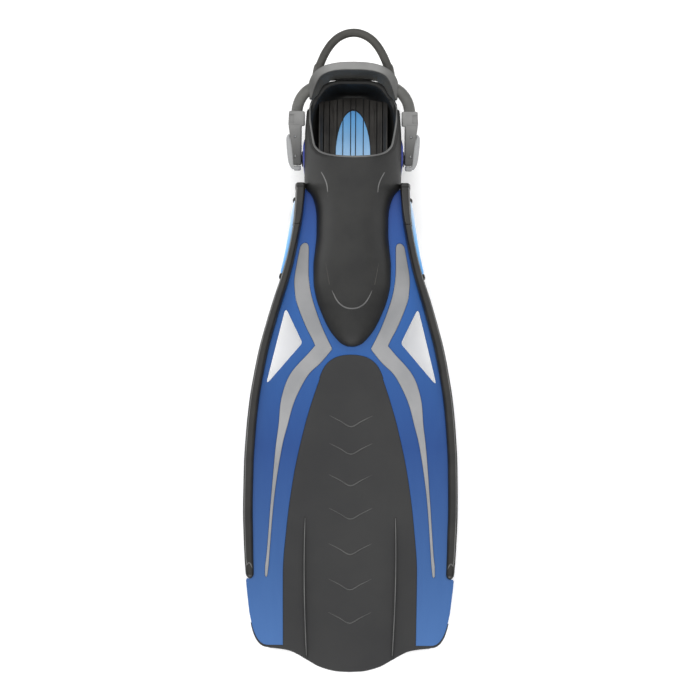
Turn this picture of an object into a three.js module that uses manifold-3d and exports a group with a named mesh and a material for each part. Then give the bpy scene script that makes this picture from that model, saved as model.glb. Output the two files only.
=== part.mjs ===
// An open-heel swim fin: a rubber foot pocket on a stiff plastic blade with a soft centre channel,
// soft side rails and grey inlays, and an elastic heel strap that is held by two quick-release buckles.
// Units are millimetres. +X is to the wearer's right, +Y runs from the blade's tip to the heel and +Z is
// up, as the fin lies on its heel and its tip. Distances along the fin, called s, count from the tip.
import * as THREE from "three";
import { mergeVertices } from "three/addons/utils/BufferGeometryUtils.js";
import Module from "manifold-3d";

// ---------- driving dimensions ----------
const BLADE_RISE_DEG = 9; // the blade climbs from the tip at this angle
const BEND_START = 290; // s where the blade starts to level out
const BEND_END = 500; // s where it is level
const HEEL_S = 612; // s of the heel's back edge
const SOLE_SLOPE_DEG = 8; // the sole falls from the toe to the heel at this angle
const SOLE_LIFT = 1.8; // the sole stands this much over the floor at the heel, on its land
const FRAME_THICK = 3.4;
const CHANNEL_THICK = 2.6;
const TIP_HEIGHT = CHANNEL_THICK / 2; // middle of the blade above the floor at the tip
const INLAY_THICK = 4.2;
const GAP = 0.3; // between pieces that touch on the real fin
const WALL = 3.6; // rubber of the foot pocket
const SHELL_DROP = 3.1; // the pocket's lower shell starts this far under the middle of the blade
const FLOOR_THICK = 9; // sole under the foot
const INSERT_DEPTH = 2.4; // how deep the footbed insert is let into the floor
const STRAP_TILT_DEG = 14; // the strap climbs from the studs to the heel pad at this angle
const PIVOT = { x: 52, s: 528.4, z: 50 }; // root of the right buckle stud
const CORD_R = 5.8; // elastic strap arm
const LOOP_R = 4.4; // finger loop
const LEVER_PIN = { l: 23.2, x: 60 }; // along the buckle from the stud's axis, and outward
const CATCH_PIN = { l: 2.8, x: 59.7 };
const PIN_R = 1.2;
const STUD_R = 4;

// ---------- materials ----------
const finish = (color, roughness, metalness = 0) =>
  new THREE.MeshStandardMaterial({ color, roughness, metalness });
const BLUE_PLASTIC = finish(0x33568f, 0.45);
const PALE_BLUE = finish(0x77a2d0, 0.4);
const BLACK_RUBBER = finish(0x343434, 0.7);
const SOFT_BLACK = finish(0x2f2f30, 0.55);
const GREY_RUBBER = finish(0x7b7c7c, 0.6);
const STRAP_RUBBER = finish(0x4a4a48, 0.55);
const BUCKLE_PLASTIC = finish(0x3a3b3a, 0.4);
const LEVER_GREY = finish(0xa9aaa9, 0.3, 0.2);
const STEEL = finish(0xb8b8ba, 0.3, 1);

// ---------- shape helpers ----------
const wasm = await Module();
wasm.setup();

// A smooth function through a few stations [s, value], with no overshoot between them.
function profile(stations) {
  const slope = stations.map((p, i) => {
    if (i === 0 || i === stations.length - 1) return null;
    const before = (p[1] - stations[i - 1][1]) / (p[0] - stations[i - 1][0]);
    const after = (stations[i + 1][1] - p[1]) / (stations[i + 1][0] - p[0]);
    return before * after <= 0 ? 0 : (2 * before * after) / (before + after);
  });
  const ends = [0, stations.length - 1];
  for (const i of ends) {
    const j = i === 0 ? 1 : i - 1;
    slope[i] = (stations[i][1] - stations[j][1]) / (stations[i][0] - stations[j][0]);
  }
  return (s) => {
    if (s <= stations[0][0]) return stations[0][1];
    const last = stations.length - 1;
    if (s >= stations[last][0]) return stations[last][1];
    const i = stations.findIndex((p) => p[0] > s) - 1;
    const [[s0, v0], [s1, v1]] = [stations[i], stations[i + 1]];
    const step = s1 - s0;
    const t = (s - s0) / step;
    return (
      v0 * (1 + 2 * t) * (1 - t) ** 2 +
      step * slope[i] * t * (1 - t) ** 2 +
      v1 * t * t * (3 - 2 * t) +
      step * slope[i + 1] * t * t * (t - 1)
    );
  };
}

// Evenly spaced numbers from a to b, both included.
const spaced = (a, b, count) =>
  Array.from({ length: count }, (_, i) => a + ((b - a) * i) / (count - 1));

// Turns the faces round where the solid is inside out.
function facingOut(geometry) {
  const at = geometry.attributes.position;
  const index = geometry.index.array;
  const [a, b, c] = [new THREE.Vector3(), new THREE.Vector3(), new THREE.Vector3()];
  let volume = 0;
  for (let i = 0; i < index.length; i += 3) {
    a.fromBufferAttribute(at, index[i]);
    b.fromBufferAttribute(at, index[i + 1]);
    c.fromBufferAttribute(at, index[i + 2]);
    volume += a.dot(b.cross(c));
  }
  if (volume < 0)
    for (let i = 0; i < index.length; i += 3)
      [index[i + 1], index[i + 2]] = [index[i + 2], index[i + 1]];
  return geometry;
}

// A closed solid through rings that hold the same number of points, with a flat cap at each end.
function loft(rings) {
  const around = rings[0].length;
  const positions = [];
  const index = [];
  for (const ring of rings) for (const p of ring) positions.push(p.x, p.y, p.z);
  for (let r = 0; r < rings.length - 1; r++)
    for (let i = 0; i < around; i++) {
      const j = (i + 1) % around;
      const [a, b] = [r * around + i, r * around + j];
      index.push(a, b, b + around, a, b + around, a + around);
    }
  for (const [r, flip] of [[0, true], [rings.length - 1, false]]) {
    const middle = positions.length / 3;
    const centre = new THREE.Vector3();
    for (const p of rings[r]) centre.addScaledVector(p, 1 / around);
    positions.push(centre.x, centre.y, centre.z);
    for (let i = 0; i < around; i++) {
      const j = (i + 1) % around;
      const [a, b] = [r * around + i, r * around + j];
      index.push(...(flip ? [middle, b, a] : [middle, a, b]));
    }
  }
  const geometry = new THREE.BufferGeometry();
  geometry.setAttribute("position", new THREE.Float32BufferAttribute(positions, 3));
  geometry.setIndex(index);
  return facingOut(geometry);
}

function solidOf(geometry) {
  const bare = new THREE.BufferGeometry();
  bare.setAttribute("position", geometry.attributes.position);
  if (geometry.index) bare.setIndex(geometry.index);
  const merged = mergeVertices(bare, 1e-4);
  return new wasm.Manifold(
    new wasm.Mesh({
      numProp: 3,
      vertProperties: new Float32Array(merged.attributes.position.array),
      triVerts: new Uint32Array(merged.index.array),
    }),
  );
}

function geometryOf(solid) {
  const mesh = solid.getMesh();
  const geometry = new THREE.BufferGeometry();
  geometry.setAttribute("position", new THREE.BufferAttribute(mesh.vertProperties, 3));
  geometry.setIndex(new THREE.BufferAttribute(mesh.triVerts, 1));
  geometry.computeVertexNormals();
  return geometry;
}

const joined = (first, ...others) =>
  geometryOf(others.reduce((sum, g) => sum.add(solidOf(g)), solidOf(first)));
const cut = (body, ...tools) =>
  geometryOf(tools.reduce((rest, g) => rest.subtract(solidOf(g)), solidOf(body)));

// A box between two corners.
function block(low, high) {
  const [x, y, z] = low.map((v, i) => high[i] - v);
  const box = new THREE.BoxGeometry(x, y, z);
  return box.translate(...low.map((v, i) => (v + high[i]) / 2));
}

// A round bar along X, Y or Z between two coordinates.
function bar(axis, radius, from, to, a, b, sides = 16) {
  const rod = new THREE.CylinderGeometry(radius, radius, to - from, sides);
  const middle = (from + to) / 2;
  if (axis === "x") return rod.rotateZ(-Math.PI / 2).translate(middle, a, b);
  if (axis === "y") return rod.translate(a, middle, b);
  return rod.rotateX(Math.PI / 2).translate(a, b, middle);
}

// A closed outline of [x, s] points as a flat plate about z = 0.
function plate(outline, thickness, holes = []) {
  const vectors = (points) => points.map(([x, s]) => new THREE.Vector2(x, s));
  const shape = new THREE.Shape(vectors(outline));
  shape.holes = holes.map((hole) => new THREE.Path(vectors(hole)));
  const body = new THREE.ExtrudeGeometry(shape, { depth: thickness, bevelEnabled: false });
  return body.translate(0, 0, -thickness / 2);
}

// Points on a smooth open curve through the given [x, s] points.
function smooth(points, count) {
  const curve = new THREE.SplineCurve(points.map(([x, s]) => new THREE.Vector2(x, s)));
  return curve.getPoints(count).map((p) => [p.x, p.y]);
}

// A closed outline with rounded corners: each corner is [x, s, radius].
function rounded(corners, steps = 4) {
  const points = [];
  corners.forEach(([x, s, radius], i) => {
    const here = new THREE.Vector2(x, s);
    const toward = (j) => {
      const [ox, os] = corners[(j + corners.length) % corners.length];
      return new THREE.Vector2(ox, os).sub(here).normalize();
    };
    const [back, on] = [toward(i - 1), toward(i + 1)];
    const setback = radius / Math.tan(Math.acos(back.dot(on)) / 2);
    const bend = new THREE.QuadraticBezierCurve(
      here.clone().addScaledVector(back, setback),
      here,
      here.clone().addScaledVector(on, setback),
    );
    points.push(...bend.getPoints(steps).map((p) => [p.x, p.y]));
  });
  return points;
}

// ---------- the blade's surface ----------
const RISE = Math.tan(THREE.MathUtils.degToRad(BLADE_RISE_DEG));
function bladeHeight(s) {
  const past = Math.min(Math.max(s - BEND_START, 0), BEND_END - BEND_START);
  const beyond = Math.max(s - BEND_END, 0);
  return TIP_HEIGHT + RISE * (s - (past * past) / (2 * (BEND_END - BEND_START)) - beyond);
}

// Lifts a flat plate onto the blade's surface.
function onBlade(geometry) {
  const at = geometry.attributes.position;
  for (let i = 0; i < at.count; i++) at.setZ(i, at.getZ(i) + bladeHeight(at.getY(i)));
  return geometry;
}

// ---------- outlines in plan, right half ----------
const RAIL_END = 98.5;
const RAIL_STATIONS = [RAIL_END + 2, 115, 145, 180, 215, 245, 270, 290, 308, 325, 342, 358, 374, 390, 405,
  420, 436, 453.7, 466, 480, 492];
const SLEEVE_START = 454;
const SLEEVE_END = 497;
const outerEdge = profile([
  [36, 100], [57, 102.8], [94, 106.9], [130, 109.3], [165, 110.4], [209, 109.8], [246, 107.6],
  [276, 104.5], [301, 100.4], [327, 95.2], [352, 88.5], [378, 80.8], [402, 72.8], [423, 67], [444, 62.8],
  [465, 59.8], [498, 58],
]);
const railWidth = profile([[96, 8.6], [150, 10.2], [378, 10.2], [402, 9.2], [430, 8.4], [497, 9]]);
const COVER_STATIONS = [329.5, 330.6, 332.5, 336, 342, 350, 362, 376, 394, 413, 430, 446, 462, 475, 484,
  490, 495, 502, 512, 526, 545, 560, 578];
const coverHalf = profile([
  [329.5, 3], [332.5, 9], [339, 15], [347, 20.9], [363, 29], [380, 35.2], [396, 38.1], [413, 38.4],
  [432, 36.6], [446, 35.5], [463, 35.5], [476, 37.2], [487, 41.4], [495, 48], [505, 48.6], [545, 48.5],
  [578, 46.6],
]);
const channelHalf = profile([
  [30, 68.4], [100, 68.9], [150, 65.2], [201, 58.3], [251, 47.3], [276, 40], [298, 32.6],
]);
const CHANNEL_TOP = 321.4;
const TRIM = 2.2; // soft edge under the blade's corners
const CORNER = { x: 97, s: 31, radius: 11 };

// The tip's lobe: a wave from the blade's corners down to the middle of the tip.
const LOBE_HALF = 92;
const tipEdge = profile([
  [0, 0], [12, 0.6], [29, 4.6], [45, 13], [54, 18.2], [62, 21.6], [74, 23.6], [LOBE_HALF, 25],
]);

// Right half of the blade's end, from the channel's edge round the corner to the side, moved in by inset.
function cornerEdge(inset) {
  const bend = new THREE.QuadraticBezierCurve(
    new THREE.Vector2(CORNER.x - CORNER.radius - 2, tipEdge(LOBE_HALF) + inset),
    new THREE.Vector2(CORNER.x - inset * 0.6, tipEdge(LOBE_HALF) + inset),
    new THREE.Vector2(outerEdge(46) - inset * 0.7, 46),
  );
  return bend.getPoints(6).map((p) => [p.x, p.y]);
}

// The left half of an outline. Points on the middle line are not repeated.
const mirror = (points) => points.filter(([x]) => x !== 0).map(([x, s]) => [-x, s]).reverse();

// ---------- blade ----------
function ventOutline() {
  return rounded([[68, 371, 2.2], [50.4, 334.6, 5], [87.8, 291.4, 1.8]], 4);
}

function inlayOutline(inset) {
  const inner = smooth([[44.6, 430], [44.6, 404], [42.6, 388], [38.6, 373], [31.4, 353], [25.2, 339.5],
    [20.4, 330]], 8);
  const innerLow = smooth([[20.2, 328], [31.2, 314.8], [45, 301], [57.9, 276], [65.1, 251], [71.2, 226],
    [78.5, 176], [83.6, 110]], 12);
  const outerLow = smooth([[87.2, 108], [85.3, 125], [81.6, 176], [77.4, 226], [74.3, 251], [71.6, 278],
    [62.8, 302.5], [44.8, 323.2]], 12);
  const outer = smooth([[37.4, 331.8], [40.4, 338.6], [47.6, 352.5], [56.4, 375], [58.5, 390], [57.8, 404],
    [53.2, 430]], 8);
  const round = smooth([[52, 433.8], [49.6, 436.4], [47, 435.8]], 2);
  const tip = [[87.4, 97.8], [86.4, 96.8], [85.2, 97.8]];
  const points = [...inner, ...innerLow, ...tip.reverse(), ...outerLow, ...outer, ...round];
  return inset ? shrunk(points, inset) : points;
}

// Moves each point of a closed outline inward along the bisector of its two edges.
function shrunk(points, inset) {
  const turn = Math.sign(THREE.ShapeUtils.area(points.map(([x, s]) => new THREE.Vector2(x, s))));
  return points.map(([x, s], i) => {
    const [px, ps] = points[(i + points.length - 1) % points.length];
    const [nx, ns] = points[(i + 1) % points.length];
    const before = new THREE.Vector2(x - px, s - ps).normalize();
    const after = new THREE.Vector2(nx - x, ns - s).normalize();
    const along = before.add(after).normalize();
    return [x - along.y * inset * turn, s + along.x * inset * turn];
  });
}

const railInner = (s) => outerEdge(s) - railWidth(s);

function frameOutlineRight() {
  const corner = cornerEdge(TRIM + GAP);
  const side = spaced(60, RAIL_END - 5.4, 3).map((s) => [outerEdge(s), s]);
  const notch = [[outerEdge(RAIL_END) - 1.4, RAIL_END - 4.4], [railInner(RAIL_END) + 1, RAIL_END - 4.4]];
  const along = RAIL_STATIONS.map((s) => [railInner(s) - GAP, s]);
  const beside = COVER_STATIONS.filter((s) => s < SLEEVE_END - 5).reverse();
  const pocket = beside.map((s) => [coverHalf(s) + GAP, s]);
  return [...corner, ...side, ...notch, ...along, ...pocket];
}

function channelEdge(inset) {
  const side = spaced(30, 298, 15).map((s) => [channelHalf(s) - inset, s]);
  const dome = new THREE.CubicBezierCurve(
    new THREE.Vector2(channelHalf(298) - inset, 299.5),
    new THREE.Vector2(27, 315),
    new THREE.Vector2(20, CHANNEL_TOP - inset),
    new THREE.Vector2(0, CHANNEL_TOP - inset),
  );
  return [...side, ...dome.getPoints(7).slice(0, -1).map((p) => [p.x, p.y])];
}

function bladeFrame() {
  const right = frameOutlineRight();
  const channel = channelEdge(-GAP);
  const start = [channelHalf(30) + GAP, tipEdge(LOBE_HALF) + TRIM + GAP];
  const toe = [0, COVER_STATIONS[0] - GAP];
  const half = [[0, CHANNEL_TOP + GAP], ...channel.reverse(), start, ...right, toe];
  const outline = [...half, ...mirror(half)];
  const holes = [ventOutline(), inlayOutline(0)];
  return onBlade(plate(outline, FRAME_THICK, [...holes, ...holes.map(mirror)]));
}

const RIB_X = 42.6;
function channelRib(side) {
  const crest = profile([[14, 1.2], [30, 5], [80, 6.4], [125, 4.4], [160, 0.8]]);
  const rings = spaced(14, 159, 9).map((s) => {
    const x = RIB_X + 4.4 * Math.sin(((s + 10) / 250) * Math.PI);
    const [low, high] = [bladeHeight(s), bladeHeight(s) + CHANNEL_THICK / 2 + crest(s)];
    const section = [[-1.5, low], [1.5, low], [0.8, high], [-0.8, high]];
    return section.map(([dx, z]) => new THREE.Vector3(side * (x + dx), s, z));
  });
  return loft(rings);
}

function bladeChannel() {
  const lobe = spaced(0, LOBE_HALF - 8, 14).slice(1).map((x) => [x, tipEdge(x)]);
  const corner = cornerEdge(0);
  const back = cornerEdge(TRIM).reverse();
  const start = [channelHalf(30), tipEdge(LOBE_HALF) + TRIM];
  const half = [[0, 0], ...lobe, ...corner, ...back, start, ...channelEdge(0), [0, CHANNEL_TOP]];
  const panel = onBlade(plate([...half, ...mirror(half)], CHANNEL_THICK));
  return joined(panel, channelRib(1), channelRib(-1));
}

function bladeInlay() {
  const proud = (INLAY_THICK - FRAME_THICK) / 2;
  return onBlade(plate(inlayOutline(GAP), INLAY_THICK)).translate(0, 0, proud);
}

// ---------- rails ----------
// A rounded bar along the blade's edge: half heights above and below the blade grow toward the foot.
const railAbove = profile([[96, 5], [180, 6], [300, 9], [400, 14], [470, 17], [497, 17]]);
const railBelow = profile([[96, 3.6], [180, 5], [300, 8], [400, 12], [470, 15], [497, 15]]);
const railLean = profile([[96, 0], [440, 0.2], [476, 1.4], [497, 1.8]]);

function railRing(s, grow = 0, shrink = 1) {
  const [outer, inner] = [outerEdge(s) + grow, railInner(s)];
  const middle = (outer + inner) / 2;
  const half = ((outer - inner) / 2) * shrink;
  const thin = 0.4 + 0.6 * shrink;
  return spaced(0, Math.PI * 2 * 0.9, 10).map((t) => {
    const [c, d] = [Math.cos(t), Math.sin(t)];
    const up = signedPower(d, 0.75) * (d > 0 ? railAbove(s) : railBelow(s)) * thin + d * grow;
    // Beside the foot the top of the rail leans in over the blade.
    const lean = c < 0 && up > 0 ? (railLean(s) * up) / railAbove(s) : 0;
    return new THREE.Vector3(middle + signedPower(c, 0.55) * half - lean, s, bladeHeight(s) + up);
  });
}

function sideRail() {
  const roundings = [[0, 0.3], [1.2, 0.66], [3, 0.88], [5.5, 1]];
  const nose = roundings.map(([d, k]) => railRing(RAIL_END - 3.5 + d, 0, k));
  const body = RAIL_STATIONS.filter((s) => s > RAIL_END + 8 && s < SLEEVE_START).map((s) => railRing(s));
  return loft([...nose, ...body]);
}

function railSleeve() {
  const body = spaced(SLEEVE_START, SLEEVE_END - 4.2, 4).map((s) => railRing(s, 0.5));
  const lip = [SLEEVE_END - 4, SLEEVE_END].map((s) => railRing(s, 1.1));
  return loft([...body, ...lip]);
}

// A pale strip on the rail's outer face, proud of it, running over the joint of rail and sleeve.
const WINDOW = [403, 482];
function railWindow() {
  const proud = profile([[WINDOW[0], 1.4], [WINDOW[0] + 8, 2.4], [WINDOW[1] - 20, 3.6], [WINDOW[1], 2]]);
  const rings = spaced(WINDOW[0], WINDOW[1], 8).map((s) => {
    const x = outerEdge(s) + 0.5 + GAP;
    const z = bladeHeight(s) - 1;
    return [[0, -6], [0, 6], [proud(s) * 0.55, 4.6], [proud(s), 0], [proud(s), -5]].map(
      ([dx, dz]) => new THREE.Vector3(x + dx, s, z + dz),
    );
  });
  return loft(rings);
}

// ---------- foot pocket ----------
const SOLE_SLOPE = Math.tan(THREE.MathUtils.degToRad(SOLE_SLOPE_DEG));
const toeLift = profile([[334, 15], [338, 8.5], [346, 3.4], [358, 0.8], [376, 0]]);
const soleBottom = (s) => SOLE_LIFT + SOLE_SLOPE * (HEEL_S - s) + toeLift(s);
const floorHeight = (s) => soleBottom(s) + FLOOR_THICK;
const coverTop = profile([
  [329.5, 55.6], [334.5, 61.5], [347, 68.5], [363, 75], [380, 80], [400, 84.4], [430, 89.4], [460, 92.4],
  [490, 94.6], [520, 96], [545, 96.4], [578, 97],
]);
const shellHalf = profile([
  [334, 13], [337, 20], [343, 27.5], [356, 36], [376, 41], [400, 44], [430, 45.2], [470, 46], [497, 47.4],
  [512, 48.5], [545, 48.6], [570, 47.4], [588, 44.4], [598, 38.8], [605, 33.6], [607.6, 30.5], [610.2, 25],
  [612, 15],
]);

const signedPower = (v, e) => Math.sign(v) * Math.abs(v) ** e;

// The upper part of the pocket over the foot, closed below the blade's surface.
function coverRing(s, inset, base) {
  const half = coverHalf(s) - inset;
  const foot = bladeHeight(s);
  const rise = coverTop(s) - inset - foot;
  const arch = spaced(0, Math.PI, 19).map((t) => [
    half * signedPower(Math.cos(t), 0.87),
    foot + rise * Math.sin(t) ** 0.87,
  ]);
  const tuck = half * 0.96; // the lower edge stays inside the shell
  return [...arch, [-tuck, foot - base], [tuck, foot - base]].map(([x, z]) => new THREE.Vector3(x, s, z));
}

// The lower part of the pocket that holds the sole.
function shellRing(s, half, top, bottom) {
  const height = top - bottom;
  const bowl = spaced(Math.PI, Math.PI * 2, 15).map((t) => [
    half * signedPower(Math.cos(t), 0.6),
    top + height * signedPower(Math.sin(t), 0.6),
  ]);
  return bowl.map(([x, z]) => new THREE.Vector3(x, s, z));
}

// The edge of the opening for the foot, seen from the side: it falls from the instep to the heel.
const RIM = [[513.6, 99.6], [518, 96.2], [521.5, 92.9], [530, 89], [545, 84.6], [558, 80.2], [573, 70.5],
  [583, 62], [592, 57], [602, 56], [616, 56], [640, 56]];

function sideCutter(line, halfWidth) {
  const shape = new THREE.Shape(line.map(([s, z]) => new THREE.Vector2(s, z)));
  const prism = new THREE.ExtrudeGeometry(shape, { depth: halfWidth * 2, bevelEnabled: false });
  // Shape X becomes s, shape Y becomes height and the depth runs across the fin.
  const basis = new THREE.Matrix4().makeBasis(
    new THREE.Vector3(0, 1, 0),
    new THREE.Vector3(0, 0, 1),
    new THREE.Vector3(1, 0, 0),
  );
  return prism.applyMatrix4(basis).translate(-halfWidth, 0, 0);
}

const INSERT = { from: 436, to: 590, half: 18.5, round: 56 };
function insertOutline(inset) {
  const half = (s) => {
    const share = Math.min(Math.min(s - INSERT.from, INSERT.to - s) / INSERT.round, 1);
    return INSERT.half * Math.sqrt(1 - (1 - share) ** 2);
  };
  const side = spaced(INSERT.from + 0.6, INSERT.to - 0.6, 20).map((s) => [half(s) - inset, s]);
  return [...side, ...mirror(side)];
}

// Follows the floor under the foot, as a plate whose top lies drop below it.
function onFloor(outline, thickness, drop) {
  const body = plate(outline, thickness);
  const at = body.attributes.position;
  for (let i = 0; i < at.count; i++)
    at.setZ(i, at.getZ(i) - thickness / 2 - drop + floorHeight(at.getY(i)));
  return body;
}

function footPocket() {
  const shellTop = (s) => bladeHeight(s) - SHELL_DROP;
  const shellStations = [334, 336, 341, 348, 358, 376, 400, 430, 470, 512, 545, 565, 580, 590, 597, 602,
    606, 609.5, 612];
  const upperStations = [346, 354, 364, 378, 396, 413, 430, 446, 462, 475, 484, 490, 495, 502, 515, 530,
    556, 592];
  const lowerStations = [343, 348, 356, 376, 400, 430, 470, 512, 545, 570, 588, 596, 601, 605, 607.5];
  const roomHalf = (s) => shellHalf(Math.min(s + 4, HEEL_S)) - WALL - 1;
  const cover = loft(COVER_STATIONS.map((s) => coverRing(s, 0, 5)));
  const shell = loft(shellStations.map((s) => shellRing(s, shellHalf(s), shellTop(s), soleBottom(s))));
  const upperRoom = loft(upperStations.map((s) => coverRing(s, WALL, 8)));
  const lowerRoom = loft(
    lowerStations.map((s) => shellRing(s, roomHalf(s), shellTop(s) - WALL, floorHeight(s))),
  );
  const opening = sideCutter([...RIM, [640, 140], [513.6, 140]], 70);
  const recess = onFloor(insertOutline(0), INSERT_DEPTH + 4, -4);
  const land = sideCutter([[584, 0], [605, 0], [605, 4], [584, 8]], 24);
  return joined(cut(joined(cover, shell), upperRoom, lowerRoom, opening, recess), land);
}

function footbedInsert() {
  return onFloor(insertOutline(GAP), INSERT_DEPTH - GAP, 0);
}

// ---------- buckles, in their own frame ----------
// Local axes of a buckle: X outward, Y along the strap from the stud, Z square to both.
function studPlate() {
  const outline = rounded([[513, 36, 6], [549, 34, 6], [552, 52, 6], [540, 66, 6], [516, 67, 6]], 4);
  const shape = new THREE.Shape(outline.map(([s, z]) => new THREE.Vector2(s, z)));
  const body = new THREE.ExtrudeGeometry(shape, { depth: 2.4, bevelEnabled: false });
  const basis = new THREE.Matrix4().makeBasis(
    new THREE.Vector3(0, 1, 0),
    new THREE.Vector3(0, 0, 1),
    new THREE.Vector3(1, 0, 0),
  );
  return body.applyMatrix4(basis).translate(PIVOT.x - 2.4 - GAP, 0, 0);
}

function buckleStud() {
  const outline = [[0, 0], [8, 0], [8, 0.9], [STUD_R, 1.4], [STUD_R, 3.2], [6.4, 3.6], [6.4, 5], [2.2, 5],
    [2.2, 3.4], [0, 3.4]];
  const turned = new THREE.LatheGeometry(outline.map(([r, h]) => new THREE.Vector2(r, h)), 20);
  return turned.rotateZ(-Math.PI / 2);
}

function studScrew() {
  const outline = [[0, 3.7], [1.9, 3.7], [1.9, 5.3], [3.6, 5.3], [3.2, 5.9], [0, 5.9]];
  const turned = new THREE.LatheGeometry(outline.map(([r, h]) => new THREE.Vector2(r, h)), 14);
  return turned.rotateZ(-Math.PI / 2);
}

const CHEEK = { inner: 9, outer: 11 };
const BASE = { low: 1.7, high: 3.1 }; // the frame's base plate, outward of the stud's root
const COLLAR = { from: 34, to: 49.6, inner: -1.6, outer: 15.2, half: 11 };
const CORD_X = 6.6; // the strap arm's centre, outward of the stud's root

function cheekOutline() {
  const back = COLLAR.from + 1;
  return rounded([[-6.4, BASE.low, 0.5], [-6.4, 9.4, 2.6], [13, 11.2, 6], [24, 13.4, 6], [back, 15, 0.5],
    [back, BASE.low, 0.5]], 2);
}

// An outline of [along, outward] points extruded between two heights of the buckle.
function buckleSlab(outline, low, high) {
  const shape = new THREE.Shape(outline.map(([l, x]) => new THREE.Vector2(x, l)));
  const body = new THREE.ExtrudeGeometry(shape, { depth: high - low, bevelEnabled: false });
  return body.translate(0, 0, low);
}

function buckleFrame() {
  const base = block([BASE.low, -6.4, -CHEEK.outer], [BASE.high, COLLAR.from + 1, CHEEK.outer]);
  const cheeks = [buckleSlab(cheekOutline(), CHEEK.inner, CHEEK.outer),
    buckleSlab(cheekOutline(), -CHEEK.outer, -CHEEK.inner)];
  const ring = rounded([[COLLAR.from, COLLAR.inner, 2], [COLLAR.from, COLLAR.outer, 2],
    [COLLAR.to, COLLAR.outer - 0.6, 2], [COLLAR.to, COLLAR.inner, 2]], 3);
  const collar = buckleSlab(ring, -COLLAR.half, COLLAR.half);
  const tunnel = bar("y", CORD_R + GAP, COLLAR.from - 6, COLLAR.to + 4, CORD_X, 0, 20);
  const rackWay = block([BASE.high, COLLAR.from - 4, -6.6], [6.4, COLLAR.from + 6, 6.6]);
  const studHole = bar("x", STUD_R + GAP, -2, BASE.high + 2, 0, 0, 20);
  const pinHoles = [LEVER_PIN, CATCH_PIN].map(({ l, x }) =>
    bar("z", PIN_R + GAP, -CHEEK.outer - 2, CHEEK.outer + 2, x - PIVOT.x, l, 14));
  return cut(joined(base, ...cheeks, collar), tunnel, rackWay, studHole, ...pinHoles);
}

function leverOutline() {
  const back = smooth([[26.2, 13.2], [24.6, 16], [19, 17.3], [1, 15.6], [-6.6, 13.6], [-10.6, 10.8]], 9);
  const front = smooth([[-5.4, 9.4], [4, 10], [16, 11], [20, 11.6]], 3);
  return [...back, [-12, 9.4], [-12, 2.4], [-7, 2.4], [-7, 8.6], ...front];
}

function buckleLever() {
  const half = CHEEK.inner - 0.4;
  const face = buckleSlab(leverOutline(), -half, half);
  const lugShape = rounded([[20.2, 14, 0.5], [20.4, 5.8, 2], [26, 5.8, 2], [26, 13, 1], [24, 15, 0.5]], 2);
  const lugs = [buckleSlab(lugShape, 6.2, half), buckleSlab(lugShape, -half, -6.2)];
  const hole = bar("z", PIN_R + GAP, -12, 12, LEVER_PIN.x - PIVOT.x, LEVER_PIN.l, 14);
  return cut(joined(face, ...lugs), hole);
}

function bucklePin(at) {
  return bar("z", PIN_R, -CHEEK.outer, CHEEK.outer, at.x - PIVOT.x, at.l, 14);
}

function leverSpring() {
  const ring = [[1.55, -5.8], [2.2, -5.8], [2.2, 5.8], [1.55, 5.8], [1.55, -5.8]];
  const coil = new THREE.LatheGeometry(ring.map(([r, h]) => new THREE.Vector2(r, h)), 14);
  return coil.rotateX(Math.PI / 2).translate(LEVER_PIN.x - PIVOT.x, LEVER_PIN.l, 0);
}

// A toothed strip under the strap, where the lever's catch takes hold of it.
function strapRack() {
  const teeth = spaced(9, 30, 8).flatMap((l) => [[l, 5], [l + 2.4, 5.7]]);
  const outline = [[8.4, BASE.high + GAP], ...teeth, [33.2, 5], [33.2, BASE.high + GAP]];
  return buckleSlab(outline, -6, 6);
}

// ---------- heel strap, in the fin's frame ----------
const TILT = THREE.MathUtils.degToRad(STRAP_TILT_DEG);
const strapPoint = (l, x) =>
  new THREE.Vector3(x, PIVOT.s + l * Math.cos(TILT), PIVOT.z + l * Math.sin(TILT));

function rod(points, radius, sides, steps) {
  const path = new THREE.CatmullRomCurve3(points, false, "centripetal");
  const side = Array.from({ length: sides }, (_, i) => {
    const t = (i / sides) * Math.PI * 2;
    return new THREE.Vector2(radius * Math.cos(t), radius * Math.sin(t));
  });
  const settings = { steps, bevelEnabled: false, extrudePath: path };
  return new THREE.ExtrudeGeometry(new THREE.Shape(side), settings);
}

function strapArm() {
  const x = PIVOT.x + CORD_X;
  const bends = [[35.5, 0], [48, 0], [54, -0.8], [60, -2.8], [65.2, -5.8], [69.6, -9.8], [72.6, -13.8]];
  const route = bends.map(([l, inward]) => strapPoint(l, x + inward));
  return cut(rod(route, CORD_R, 10, 14), heelPad(GAP));
}

// The heel pad's middle line in plan, right half, with its thickness and its lower and upper edge.
const PAD_LINE = [[0, 618.6], [14, 618.2], [27, 616], [37, 610.6], [42.4, 601.5], [44.4, 588]];
const padThick = profile([[0, 7.4], [0.55, 7.8], [0.72, 8.8], [0.84, 7.8], [1, 3.4]]);
const padLow = profile([[0, 45], [0.5, 45.2], [0.7, 47], [0.76, 49.5], [0.83, 58.5], [0.9, 60], [1, 63]]);
const padHigh = profile([[0, 85], [0.45, 84], [0.7, 79], [0.88, 73], [1, 69]]);
const PAD_LEAN = 0.08; // the pad's top is further back than its foot

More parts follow.
